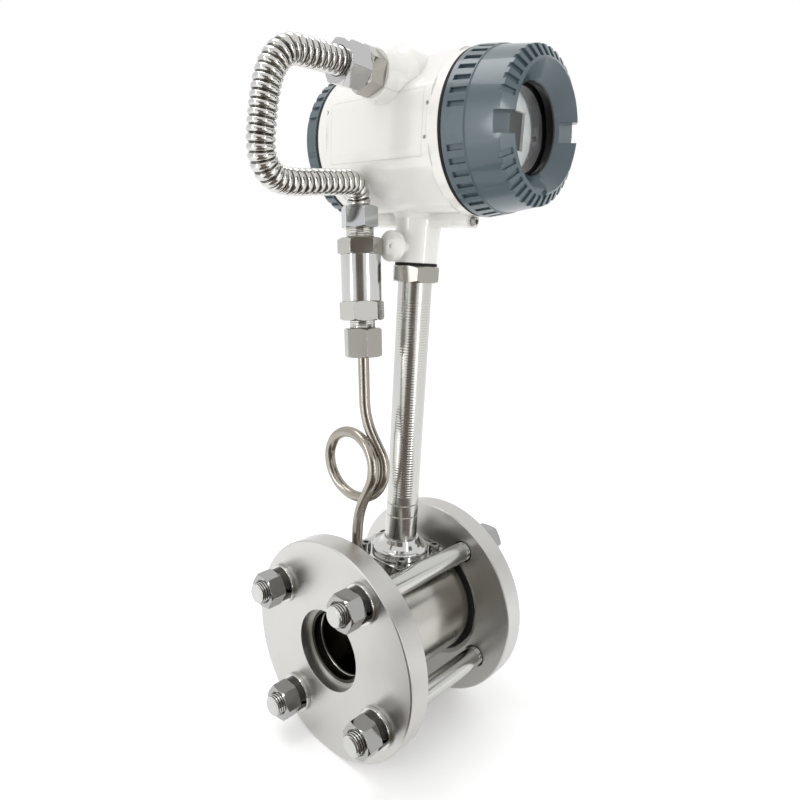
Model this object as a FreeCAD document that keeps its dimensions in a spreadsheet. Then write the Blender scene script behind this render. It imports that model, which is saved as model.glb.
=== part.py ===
# Insertion vortex flow meter, flange-clamped, with a pigtail pressure line and a round instrument head.
#
# Frame: millimetres, +Z up. The origin is the middle of the inlet flange's outer face, +Y is the
# flow direction and +X is the side that the display faces.
import FreeCAD, Part
import math
import os
import Sketcher
from FreeCAD import Placement, Rotation, Vector

doc = FreeCAD.newDocument("VortexFlowMeter")
sheet = doc.addObject("Spreadsheet::Sheet", "Size")

X_AXIS, Y_AXIS, Z_AXIS = Vector(1, 0, 0), Vector(0, 1, 0), Vector(0, 0, 1)

# Driving sizes, in millimetres and degrees
SIZES = {
    # pipe line, flanges and their bolting
    "flow_bore": 50, "body_od": 90, "body_length": 101, "body_edge": 1,
    "flange_od": 165, "flange_thk": 18, "flange_edge": 0.8,
    "bolt_circle": 125, "bolt_hole": 18, "bolt_turn": 13.3,
    "pipe_od": 60.3, "pipe_gap": 0.5, "socket_depth": 9, "lip_step": 1,
    "recess_gap": 3.4, "recess_depth": 4, "recess_edge": 3.3,
    "gasket_thk": 2, "gasket_bore": 54, "gasket_gap": 0.5,
    "stud_size": 16, "stud_core": 0.8, "stud_end": 1.2, "stud_past": 5.4, "stud_thread": 46,
    "nut_across": 24, "nut_high": 13, "nut_play": 0.15,
    "washer_od": 30, "washer_thk": 3, "spring_od": 25.4, "spring_thk": 4, "spring_slit": 2.6,
    # shedder bar across the bore
    "shedder_place": 50, "shedder_rod": 18, "shedder_face": 14, "shedder_back": 4,
    "shedder_play": 0.1, "shedder_front_reach": 5.2, "shedder_back_reach": 8, "shedder_seat": 6,
    "shedder_low": 1,
    # sensor seat, probe and plate
    "sensor_place": 75, "neck_od": 42, "seat_wide": 48.6, "seat_long": 54, "seat_round": 3, "seat_thk": 7,
    "seat_rise": 6, "probe_rim": 33, "probe_rim_thk": 3, "probe_od": 23.6, "probe_play": 0.2,
    "probe_low": 27, "blade_thk": 3.5, "blade_wide": 12, "blade_low": 4, "probe_well": 10,
    "seal_od": 48, "seal_thk": 1, "plate_thk": 5,
    "hat_od": 44.6, "hat_high": 4.6, "hat_groove_low": 1.2, "hat_groove_high": 1.4,
    "hat_groove_deep": 1.3, "hat_top_od": 39, "flare_high": 7.5, "flare_od": 28,
    "screw_pitch": 39, "screw_size": 5, "screw_head_od": 8.5, "screw_head_high": 5,
    "screw_socket": 4, "screw_socket_deep": 2.6, "screw_length": 15, "screw_play": 0.1,
    # stem and its lock nut
    "stem_od": 25, "stem_wall": 2.5, "stem_seat": 3, "stem_play": 0.15, "stem_in_neck": 14,
    "lock_nut_across": 31.8, "lock_nut_high": 11.5, "neck_gasket_od": 30.6, "neck_gasket_thk": 2,
    # instrument head
    "head_height": 363.8, "front_face": 53.7, "rear_face": 53.5, "barrel_across": 97,
    "barrel_round": 16, "barrel_front": 46.5, "barrel_rear": 46, "collar_od": 100.4, "rear_collar_od": 99,
    "collar_long": 8,
    "neck_low": 281.7, "neck_low_od": 29.8, "neck_top_od": 33, "neck_top": 312,
    "boss_x": 7, "boss_height": 28.7, "boss_face": 58.4, "boss_od": 30, "boss_flare_od": 42,
    "boss_flare_start": 50, "boss_flare_end": 39, "conduit_thread": 19.6, "entry_thread": 18.6,
    "lug_wide": 14, "lug_low": 306.4, "lug_front": 47.5, "lug_rear": 46, "lug_round": 4,
    "plug_boss_od": 21, "plug_boss_height": 292.3, "plug_boss_reach": 28, "plug_rim": 4, "plug_stub_od": 10,
    "dimple": 2.4,
    "plate_hole": 2.2, "plate_hole_deep": 3, "plate_long": 89, "plate_short": 18.8,
    "plate_x": -1.2, "plate_z": 2.8, "plate_tilt": 2.8,
    "cover_thread": 88, "thread_play": 0.15, "skirt_long": 12, "chamber_od": 82,
    "chamber_front": 27, "chamber_rear": 23, "wire_hole": 10, "wire_hole_height": 31,
    # covers
    "cover_seal": 2, "cover_seal_od": 100.6, "rear_seal_od": 99.4, "rim_od": 101.3, "rim_front_od": 97.2,
    "rear_rim_od": 99.4, "rim_long": 15.3, "rim_edge": 0.8,
    "band_start_od": 95.8, "band_end_od": 89.6, "band_end": 92.6, "bevel_end_od": 72.6,
    "cover_front": 97.6, "window_od": 52, "window_depth": 86.4, "cover_wall_od": 77,
    "slot_wide": 3.4, "slot_deep": 1.6, "slot_start": 4, "slot_end": 14.8, "rear_slot_start": 1.6,
    "rear_slot_end": 13.6, "slot_step": 9,
    "slot_count": 18, "slot_skip": 13.5,
    "rib_wide": 3.4, "rib_deep": 1.7, "rib_count": 16, "rib_skip": 22.5,
    "notch_wide": 12, "notch_floor": 89, "face_recess_wide": 12, "face_recess_deep": 2,
    "cover_turn": 5.5, "glass_shoulder": 82.5, "glass_od": 62,
    "rear_cover_end": 70, "rear_rim_long": 10, "rear_dish_od": 60, "rear_dish_deep": 2,
    "rear_wall": 5, "rear_end_od": 92,
    "glass_seal": 1, "glass_thk": 5, "glass_play": 0.2, "ring_long": 6.9, "ring_bore": 50.4,
    "ring_slot": 3,
    # display and electronics
    "module_od": 73, "module_rear": 3, "module_front": 58, "module_foot": 12, "module_screw_pitch": 60,
    "module_screw": 4, "module_screw_head": 7, "module_screw_head_high": 2.6,
    "board_od": 70, "board_thk": 1.6, "lcd_long": 36, "lcd_high": 25, "lcd_thk": 3, "lcd_z": 2.5,
    "bezel_od": 75, "bezel_front": 68.2, "bezel_thk": 2, "bezel_wall": 1.6,
    "window_long": 33, "window_high": 23,
    "key_pitch": 12, "key_z": -16, "key_od": 9, "key_play": 0.25, "key_proud": 0.8, "key_stop": 0.05,
    "key_flange_od": 11.4, "key_flange_thk": 1, "key_travel": 0.5, "switch_side": 6, "switch_gap": 0.1,
    "terminal_long": 52, "terminal_high": 22, "terminal_deep": 14, "terminal_z": -8,
    "terminal_count": 6, "terminal_pitch": 7.6, "terminal_screw": 5, "terminal_screw_high": 2,
    "terminal_mount_pitch": 46, "mount_screw": 3, "mount_screw_head": 5.5, "mount_screw_high": 2,
    "mount_screw_long": 16,
    "lock_screw": 5.6, "lock_screw_long": 16, "lock_screw_out": 3.4, "lock_screw_wall": 1.2,
    "lock_socket": 3,
    # pressure line
    "tap_x": -2.3, "tap_y": 28.5, "tap_od": 14, "tap_top": 49, "tap_socket": 6, "tap_hole": 4,
    "siphon_od": 8, "siphon_bore": 5, "siphon_play": 0.15, "siphon_bend_z": 101,
    "loop_high": 24.6, "loop_wide": 26, "loop_x": -14.2, "loop_z": 134.5, "loop_x_shift": 2.3,
    "loop_z_shift": -1.5, "loop_steps": 14,
    "loop_start": -28, "loop_turn": 424, "loop_y": 26.8, "loop_pitch": 11.2, "riser_bend": 45.7,
    "press_x": -8.3, "press_y": 33.5, "press_low": 215.2, "press_lean": 5.4,
    "comp_across": 24, "comp_high": 20.2, "comp_cap": 6, "ferrule_high": 5, "ferrule_od": 13,
    "port_thread": 18, "port_low": 8, "port_hex_low": 25.6, "port_hex_high": 13.4, "port_across": 27.4,
    "port_hole": 3, "port_spigot": 6, "port_socket": 8,
    "case_od": 28, "case_wall": 1.6, "case_high": 31.3, "case_play": 0.1,
    "cell_od": 20, "cell_high": 8, "cap_hex_high": 11.1, "cap_spigot": 7, "cap_thread": 19,
    "cap_top": 95, "cap_bore": 10, "press_board_wide": 16, "press_board_thk": 1.6,
    "hose_nut_across": 22.5, "hose_nut_low": 88, "hose_nut_top": 102.4,
    "adapter_hex_high": 12, "adapter_across": 24, "adapter_nipple": 12, "adapter_out": 22,
    "adapter_bore": 12, "cap_nut_long": 16, "hose_od": 16, "hose_play": 0.3, "hose_gap": 0.3,
    "hose_lead": 12, "hose_drop": 13.9, "hex_edge": 1.2,
}

# The hose's corners between its two fittings, measured from the middle of the instrument head
HOSE_CORNERS = [
    (6.8, -107.5, 27.4), (6.2, -123.1, 26.4), (5.2, -132.6, 14.0), (3.4, -135.4, -5.9),
    (0.8, -135.3, -29.8), (-1.2, -125.1, -40.2), (-3.2, -109.5, -40.3), (-6.0, -88.5, -37.1),
    (-9.5, -68.3, -34.6), (-12.8, -52.2, -31.6),
]


def write_sizes():
    """Put every driving size in the sheet, as a plain number with its name as alias."""
    for row, (alias, value) in enumerate(SIZES.items(), start=1):
        sheet.set("A%d" % row, alias)
        sheet.set("B%d" % row, str(value))
        sheet.setAlias("B%d" % row, alias)
    doc.recompute()


def size(alias):
    """A driving size as a number, read back from the sheet."""
    return float(sheet.get(alias))


def s(alias):
    """A driving size inside an expression."""
    return "Size." + alias


# Places that several pieces share, as expressions
BODY_START = "(Size.flange_thk - Size.recess_depth + Size.gasket_thk)"
BODY_END = "(%s + Size.body_length)" % BODY_START
LINE_END = "(%s + %s)" % (BODY_START, BODY_END)
SOCKET_OD = "(Size.pipe_od + 2 * Size.pipe_gap)"
RECESS_OD = "(Size.body_od + 2 * Size.recess_gap)"
SEAT_TOP = "(Size.body_od / 2 + Size.seat_rise)"
PLATE_LOW = "(%s + Size.seal_thk)" % SEAT_TOP
PLATE_TOP = "(%s + Size.plate_thk)" % PLATE_LOW
STEM_LOW = "(%s + Size.stem_seat)" % PLATE_TOP
STEM_TOP = "(Size.neck_low + Size.stem_in_neck)"
LOCK_NUT_LOW = "(Size.neck_low - Size.neck_gasket_thk - Size.lock_nut_high)"
FRONT_SEAT = "(Size.front_face + Size.cover_seal)"
REAR_SEAT = "(Size.rear_face + Size.cover_seal)"
BEZEL_BACK = "(Size.bezel_front - Size.bezel_thk)"
BOARD_FRONT = "(Size.module_front + Size.module_screw_head_high + Size.board_thk)"
KEY_BACK = "(%s - Size.key_stop - Size.key_flange_thk)" % BEZEL_BACK
SWITCH_TOP = "(%s - Size.key_travel - Size.switch_gap)" % KEY_BACK
PORT_TOP = "(Size.port_hex_low + Size.port_hex_high)"
CASE_TOP = "(%s + Size.case_high)" % PORT_TOP
CAP_HEX_TOP = "(%s + Size.cap_hex_high)" % CASE_TOP

exported = []


def new_body(label, x="0", y="0", z="0"):
    """An empty body whose place is tied to the sheet."""
    body = doc.addObject("PartDesign::Body", label)
    body.Label = label
    for name, text in (("x", x), ("y", y), ("z", z)):
        body.setExpression("Placement.Base." + name, text)
    return body


def keep(piece):
    """Mark a finished piece as one that is written to its own file."""
    exported.append(piece)
    return piece


def origin_part(body, role):
    """One of the body's own origin planes or axes."""
    return [part for part in body.Origin.OriginFeatures if part.Role == role][0]


def new_sketch(body, name, plane, height=None, turn=None, turn_axis=Z_AXIS, shift=None):
    """A sketch on an origin plane, raised, turned or shifted by expressions."""
    sketch = body.newObject("Sketcher::SketchObject", name)
    sketch.AttachmentSupport = [(origin_part(body, plane), "")]
    sketch.MapMode = "FlatFace"
    if turn:
        sketch.AttachmentOffset = Placement(Vector(), Rotation(turn_axis, 1))
        sketch.setExpression("AttachmentOffset.Rotation.Angle", turn)
    if height:
        sketch.setExpression("AttachmentOffset.Base.z", height)
    if shift:
        sketch.setExpression("AttachmentOffset.Base.x", shift[0])
        sketch.setExpression("AttachmentOffset.Base.y", shift[1])
    return sketch


def add_outline(sketch, points):
    """A closed outline; each corner's two coordinates are expressions."""
    count = len(points)
    first = sketch.GeometryCount
    spots = [Vector(math.cos(2 * math.pi * i / count), math.sin(2 * math.pi * i / count), 0) * 10
             for i in range(count)]
    sketch.addGeometry([Part.LineSegment(spots[i], spots[(i + 1) % count]) for i in range(count)])
    rules = [Sketcher.Constraint("Coincident", first + i, 2, first + (i + 1) % count, 1)
             for i in range(count)]
    for i, spot in enumerate(spots):
        rules.append(Sketcher.Constraint("DistanceX", -1, 1, first + i, 1, spot.x))
        rules.append(Sketcher.Constraint("DistanceY", -1, 1, first + i, 1, spot.y))
    start = sketch.ConstraintCount
    sketch.addConstraint(rules)
    for i, (across, up) in enumerate(points):
        sketch.setExpression("Constraints[%d]" % (start + count + 2 * i), across)
        sketch.setExpression("Constraints[%d]" % (start + count + 2 * i + 1), up)


def add_circle(sketch, across, up, diameter):
    """A circle whose middle and diameter are expressions."""
    number = sketch.addGeometry(Part.Circle(Vector(5, 5, 0), Z_AXIS, 3))
    start = sketch.ConstraintCount
    sketch.addConstraint([
        Sketcher.Constraint("DistanceX", -1, 1, number, 3, 5),
        Sketcher.Constraint("DistanceY", -1, 1, number, 3, 5),
        Sketcher.Constraint("Diameter", number, 6),
    ])
    for i, text in enumerate((across, up, diameter)):
        sketch.setExpression("Constraints[%d]" % (start + i), text)


def hexagon(across, turn=0):
    """The corners of a hexagon with the given distance across its flats."""
    return [("%s / 2 / cos(30) * cos(%d)" % (across, turn + 60 * i),
             "%s / 2 / cos(30) * sin(%d)" % (across, turn + 60 * i)) for i in range(6)]


def rectangle(low_x, high_x, low_y, high_y):
    """The corners of an upright rectangle."""
    return [(low_x, low_y), (high_x, low_y), (high_x, high_y), (low_x, high_y)]


def extrude(body, kind, name, sketch, length=None, both=False, reverse=False):
    """A pad or pocket; with no length it goes right through."""
    feature = body.newObject("PartDesign::" + kind, name)
    feature.Profile = sketch
    if length is None:
        feature.Type = "ThroughAll"
    else:
        feature.Type = "Length"
        feature.setExpression("Length", length)
    feature.Midplane = both
    feature.Reversed = reverse
    doc.recompute()
    return feature


def revolve(body, kind, name, sketch, axis):
    """A full turn of a sketch about one of its own axes."""
    feature = body.newObject("PartDesign::" + kind, name)
    feature.Profile = sketch
    feature.ReferenceAxis = (sketch, [axis])
    feature.Angle = 360
    doc.recompute()
    return feature


def turned(body, name, plane, axis, points, kind="Revolution", **place):
    """A turned form, or a turned cut, from an outline of expressions."""
    sketch = new_sketch(body, name + "_outline", plane, **place)
    add_outline(sketch, points)
    return revolve(body, kind, name, sketch, axis)


def polar(body, name, features, axis, angle, count):
    """Copies of features about one of the body's axes."""
    pattern = body.newObject("PartDesign::PolarPattern", name)
    pattern.Originals = features
    pattern.Axis = (origin_part(body, axis), [""])
    pattern.setExpression("Angle", angle)
    pattern.setExpression("Occurrences", count)
    body.Tip = pattern
    doc.recompute()
    return pattern


def edges_along(feature, direction, least):
    """Names of the straight edges of a feature that run in one direction."""
    names = []
    for number, edge in enumerate(feature.Shape.Edges, start=1):
        if edge.Curve.TypeId != "Part::GeomLine" or edge.Length < least:
            continue
        if abs(edge.tangentAt(edge.FirstParameter).dot(direction)) > 0.999:
            names.append("Edge%d" % number)
    return names


def rounded(body, name, feature, edges, radius):
    """A fillet on named edges of a feature."""
    fillet = body.newObject("PartDesign::Fillet", name)
    fillet.Base = (feature, edges)
    fillet.setExpression("Radius", radius)
    doc.recompute()
    return fillet


def corner_cut(across, low, high, top=True, bottom=True):
    """Outlines of the turned cuts that bevel a hexagon's corners at its ends."""
    flat, reach = "%s / 2" % across, "(%s / 2 / cos(30) + 1)" % across
    drop = "(%s - %s) * tan(30)" % (reach, flat)
    cuts = []
    if bottom:
        cuts.append([(flat, low), (reach, low), (reach, "%s + %s" % (low, drop))])
    if top:
        cuts.append([(flat, high), (reach, high), (reach, "%s - %s" % (high, drop))])
    return cuts


def hex_block(body, name, across, low, high, turn=0, top=True, bottom=True):
    """An upright hexagon with bevelled corners, from one height to another."""
    sketch = new_sketch(body, name + "_hexagon", "XY_Plane", height=low)
    add_outline(sketch, hexagon(across, turn))
    extrude(body, "Pad", name + "_block", sketch, "%s - %s" % (high, low))
    for i, points in enumerate(corner_cut(across, low, high, top, bottom)):
        turned(body, "%s_bevel_%d" % (name, i), "XZ_Plane", "V_Axis", points, kind="Groove")


def round_hole(body, name, plane, across, up, diameter, height=None, length=None, reverse=False):
    """A drilled hole."""
    sketch = new_sketch(body, name + "_place", plane, height=height)
    add_circle(sketch, across, up, diameter)
    return extrude(body, "Pocket", name, sketch, length, both=length is None, reverse=reverse)


def placed_copies(label, master, places):
    """One node that holds separate copies of a master piece."""
    group = doc.addObject("Part::Feature", label)
    group.Label = label
    copies = []
    for place in places:
        copy = master.Shape.copy()
        copy.Placement = place.multiply(master.Placement)
        copies.append(copy)
    group.Shape = Part.makeCompound(copies)
    return keep(group)


def bolt_spots():
    """The four bolt axes, as x and z about the pipe's axis."""
    radius, turn = size("bolt_circle") / 2, size("bolt_turn")
    angles = [math.radians(45 + turn + 90 * i) for i in range(4)]
    return [(radius * math.cos(a), radius * math.sin(a)) for a in angles]


def bolt_places(depth):
    """Places on the four bolt axes at both flanges, with local +Z pointing away from the line."""
    end = 2 * (size("flange_thk") - size("recess_depth") + size("gasket_thk")) + size("body_length")
    places = []
    for x, z in bolt_spots():
        places.append(Placement(Vector(x, -depth, z), Rotation(X_AXIS, 90)))
        places.append(Placement(Vector(x, end + depth, z), Rotation(X_AXIS, -90)))
    return places


# Pipe line

def make_meter_body():
    """The flow tube: a barrel with the sensor seat, the pressure tap and the flow bore."""
    body = new_body("meter_body")
    radius, edge, bore = "Size.body_od / 2", s("body_edge"), "Size.flow_bore / 2"
    turned(body, "barrel", "YZ_Plane", "H_Axis", [
        (BODY_START, "0"), (BODY_START, "%s - %s" % (radius, edge)),
        ("%s + %s" % (BODY_START, edge), radius), ("%s - %s" % (BODY_END, edge), radius),
        (BODY_END, "%s - %s" % (radius, edge)), (BODY_END, "0")])

    neck = new_sketch(body, "sensor_neck_circle", "XY_Plane")
    add_circle(neck, "0", s("sensor_place"), s("neck_od"))
    extrude(body, "Pad", "sensor_neck", neck, SEAT_TOP + " - Size.seat_thk / 2")
    tap = new_sketch(body, "pressure_tap_circle", "XY_Plane")
    add_circle(tap, s("tap_x"), s("tap_y"), s("tap_od"))
    extrude(body, "Pad", "pressure_tap", tap, s("tap_top"))
    seat = new_sketch(body, "sensor_seat_square", "XY_Plane", height=SEAT_TOP + " - Size.seat_thk")
    wide, long = "Size.seat_wide / 2", "Size.seat_long / 2"
    add_outline(seat, rectangle("-" + wide, wide, "Size.sensor_place - " + long,
                                "Size.sensor_place + " + long))
    block = extrude(body, "Pad", "sensor_seat", seat, s("seat_thk"))
    corners = [name for name in edges_along(block, Z_AXIS, size("seat_thk") * 0.99)
               if abs(abs(block.Shape.getElement(name).CenterOfMass.x) - size("seat_wide") / 2) < 0.01]
    rounded(body, "sensor_seat_corners", block, corners, s("seat_round"))

    turned(body, "flow_bore", "YZ_Plane", "H_Axis", [
        (BODY_START, "0"), (BODY_START, "%s + %s" % (bore, edge)),
        ("%s + %s" % (BODY_START, edge), bore), ("%s - %s" % (BODY_END, edge), bore),
        (BODY_END, "%s + %s" % (bore, edge)), (BODY_END, "0")], kind="Groove")
    round_hole(body, "probe_bore", "XY_Plane", "0", s("sensor_place"),
               "Size.probe_od + 2 * Size.probe_play", height=SEAT_TOP, length=SEAT_TOP)
    round_hole(body, "probe_rim_seat", "XY_Plane", "0", s("sensor_place"),
               "Size.probe_rim + 2 * Size.probe_play", height=SEAT_TOP, length=s("probe_rim_thk"))
    round_hole(body, "shedder_bore", "XY_Plane", "0", s("shedder_place"),
               "Size.shedder_rod + 2 * Size.shedder_play",
               height="Size.flow_bore / 2 + Size.shedder_seat", length="Size.body_od + Size.shedder_seat")
    round_hole(body, "tap_socket", "XY_Plane", s("tap_x"), s("tap_y"),
               "Size.siphon_od + 2 * Size.siphon_play", height=s("tap_top"), length=s("tap_socket"))
    round_hole(body, "tap_drilling", "XY_Plane", s("tap_x"), s("tap_y"), s("tap_hole"),
               height=s("tap_top"), length=s("tap_top"))
    holes = new_sketch(body, "seat_screw_places", "XY_Plane", height=SEAT_TOP)
    for side_x in ("-", ""):
        for side_y in ("-", "+"):
            add_circle(holes, side_x + "Size.screw_pitch / 2",
                       "Size.sensor_place %s Size.screw_pitch / 2" % side_y,
                       "Size.screw_size + 2 * Size.screw_play")
    extrude(body, "Pocket", "seat_screw_holes", holes, "Size.seat_thk + 0.5 * Size.screw_size")
    return keep(body)


def make_shedder_bar():
    """The bluff bar: a round rod, milled to a tapering section where it crosses the bore."""
    body = new_body("shedder_bar", y=s("shedder_place"))
    low = "-(Size.body_od / 2 - Size.shedder_low)"
    top = "(Size.flow_bore / 2 + Size.shedder_seat)"
    rod = new_sketch(body, "rod_circle", "XY_Plane", height=low)
    add_circle(rod, "0", "0", s("shedder_rod"))
    extrude(body, "Pad", "rod", rod, "%s - (%s)" % (top, low))
    mill = new_sketch(body, "milled_section", "XY_Plane")
    add_circle(mill, "0", "0", "Size.shedder_rod + 4")
    front, back = "Size.shedder_face / 2", "Size.shedder_back / 2"
    add_outline(mill, [("-" + front, "-Size.shedder_front_reach"), (front, "-Size.shedder_front_reach"),
                       (back, s("shedder_back_reach")), ("-" + back, s("shedder_back_reach"))])
    extrude(body, "Pocket", "milling", mill, s("flow_bore"), both=True)
    return keep(body)


def make_flange(label, outlet):
    """A flange with a socket for the pipe outside and a recess for the body inside.

    It is drawn with its outer face at the origin; the outlet flange is the same piece turned round.
    """
    body = new_body(label)
    outer, edge = "Size.flange_od / 2", s("flange_edge")
    lip = "(Size.flow_bore / 2 + Size.lip_step)"
    socket, recess = "%s / 2" % SOCKET_OD, "%s / 2" % RECESS_OD
    turned(body, "disc", "YZ_Plane", "H_Axis", [
        ("0", socket), ("0", "%s - %s" % (outer, edge)), (edge, outer),
        ("Size.flange_thk - %s" % edge, outer), (s("flange_thk"), "%s - %s" % (outer, edge)),
        (s("flange_thk"), "%s + Size.recess_edge" % recess),
        ("Size.flange_thk - Size.recess_edge * 0.6", recess),
        ("Size.flange_thk - Size.recess_depth", recess), ("Size.flange_thk - Size.recess_depth", lip),
        (s("socket_depth"), lip), (s("socket_depth"), socket)])
    sketch = new_sketch(body, "bolt_hole_place", "XZ_Plane")
    add_circle(sketch, "Size.bolt_circle / 2 * cos(45 + Size.bolt_turn)",
               "Size.bolt_circle / 2 * sin(45 + Size.bolt_turn)", s("bolt_hole"))
    hole = extrude(body, "Pocket", "bolt_hole", sketch, None, both=True)
    polar(body, "bolt_holes", [hole], "Y_Axis", "360", "4")
    if outlet:
        body.Placement = Placement(Vector(), Rotation(Z_AXIS, 180))
        body.setExpression("Placement.Base.y", LINE_END)
        hole_turn = "45 - Size.bolt_turn"
        sketch.setExpression("Constraints[0]", "Size.bolt_circle / 2 * cos(%s)" % hole_turn)
        sketch.setExpression("Constraints[1]", "Size.bolt_circle / 2 * sin(%s)" % hole_turn)
    return keep(body)


def make_gasket(label, start):
    """A flat ring between a flange's recess and the end of the body."""
    body = new_body(label, y=start)
    outer = "(%s / 2 - Size.gasket_gap)" % RECESS_OD
    turned(body, "ring", "YZ_Plane", "H_Axis",
           rectangle("0", s("gasket_thk"), "Size.gasket_bore / 2", outer))
    return keep(body)


def make_studs():
    """Four long bolts with a plain shank and a reduced thread at each end."""
    master = new_body("one_stud")
    span = "(%s / 2 + Size.washer_thk + Size.spring_thk + Size.nut_high + Size.stud_past)" % LINE_END
    plain = "(%s - Size.stud_thread)" % span
    radius, core = "Size.stud_size / 2", "(Size.stud_size / 2 - Size.stud_core / 2)"
    tip = "(%s - Size.stud_end)" % core
    turned(master, "stud", "XZ_Plane", "V_Axis", [
        ("0", "-" + span), (tip, "-" + span), (core, "-(%s - Size.stud_end)" % span),
        (core, "-" + plain), (radius, "-(%s - Size.stud_core)" % plain),
        (radius, "%s - Size.stud_core" % plain), (core, plain), (core, "%s - Size.stud_end" % span),
        (tip, span), ("0", span)])
    middle = size("flange_thk") - size("recess_depth") + size("gasket_thk") + size("body_length") / 2
    places = [Placement(Vector(x, middle, z), Rotation(X_AXIS, 90)) for x, z in bolt_spots()]
    return placed_copies("stud_bolts", master, places)


def make_flange_hardware():
    """Nuts, spring washers and flat washers on both ends of the four studs."""
    washer = new_body("one_washer")
    turned(washer, "washer", "XZ_Plane", "V_Axis", [
        ("Size.stud_size / 2 + Size.nut_play", "0"), ("Size.washer_od / 2 - 0.4", "0"),
        ("Size.washer_od / 2", "0.4"), ("Size.washer_od / 2", "Size.washer_thk - 0.4"),
        ("Size.washer_od / 2 - 0.4", s("washer_thk")),
        ("Size.stud_size / 2 + Size.nut_play", s("washer_thk"))])
    placed_copies("flat_washers", washer, bolt_places(0))

    spring = new_body("one_spring_washer")
    turned(spring, "ring", "XZ_Plane", "V_Axis", rectangle(
        "Size.stud_size / 2 + Size.nut_play", "Size.spring_od / 2", "0", s("spring_thk")))
    slit = new_sketch(spring, "slit_place", "YZ_Plane")
    half, lean = "Size.spring_slit / 2", "Size.spring_thk * 0.35"
    add_outline(slit, [("-%s - %s" % (half, lean), "-1"), ("%s - %s" % (half, lean), "-1"),
                       ("%s + %s" % (half, lean), "Size.spring_thk + 1"),
                       ("-%s + %s" % (half, lean), "Size.spring_thk + 1")])
    extrude(spring, "Pocket", "slit", slit, s("spring_od"), reverse=True)
    placed_copies("spring_washers", spring, bolt_places(size("washer_thk")))

    nut = new_body("one_nut")
    hex_block(nut, "nut", s("nut_across"), "0", s("nut_high"))
    turned(nut, "thread_bore", "XZ_Plane", "V_Axis", [
        ("0", "0"), ("Size.stud_size / 2 + Size.nut_play + Size.hex_edge", "0"),
        ("Size.stud_size / 2 + Size.nut_play", s("hex_edge")),
        ("Size.stud_size / 2 + Size.nut_play", "Size.nut_high - Size.hex_edge"),
        ("Size.stud_size / 2 + Size.nut_play + Size.hex_edge", s("nut_high")), ("0", s("nut_high"))],
        kind="Groove")
    placed_copies("flange_nuts", nut, bolt_places(size("washer_thk") + size("spring_thk")))


# Sensor and stem

def make_sensor_probe():
    """The probe: a rim that is clamped on its seat, a shank and a thin blade in the flow."""
    body = new_body("sensor_probe", y=s("sensor_place"))
    turned(body, "shank", "XZ_Plane", "V_Axis", [
        ("0", s("probe_low")), ("Size.probe_od / 2 - 1", s("probe_low")),
        ("Size.probe_od / 2", "Size.probe_low + 1"),
        ("Size.probe_od / 2", SEAT_TOP + " - Size.probe_rim_thk"),
        ("Size.probe_rim / 2", SEAT_TOP + " - Size.probe_rim_thk"), ("Size.probe_rim / 2", SEAT_TOP),
        ("Size.probe_well / 2", SEAT_TOP), ("Size.probe_well / 2", "Size.probe_low + 6"),
        ("0", "Size.probe_low + 6")])
    blade = new_sketch(body, "blade_outline", "YZ_Plane")
    half = "Size.blade_wide / 2"
    add_outline(blade, [
        ("-" + half, "Size.probe_low + 1"), ("-" + half, "Size.blade_low + 3"),
        ("-%s + 2" % half, s("blade_low")), ("%s - 2" % half, s("blade_low")),
        (half, "Size.blade_low + 3"), (half, "Size.probe_low + 1")])
    extrude(body, "Pad", "blade", blade, s("blade_thk"), both=True)
    return keep(body)


def make_sensor_seal():
    """A flat seal between the seat and the plate."""
    body = new_body("sensor_seal", y=s("sensor_place"), z=SEAT_TOP)
    turned(body, "ring", "XZ_Plane", "V_Axis",
           rectangle("Size.probe_rim / 2 - 4", "Size.seal_od / 2", "0", s("seal_thk")))
    return keep(body)


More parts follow.
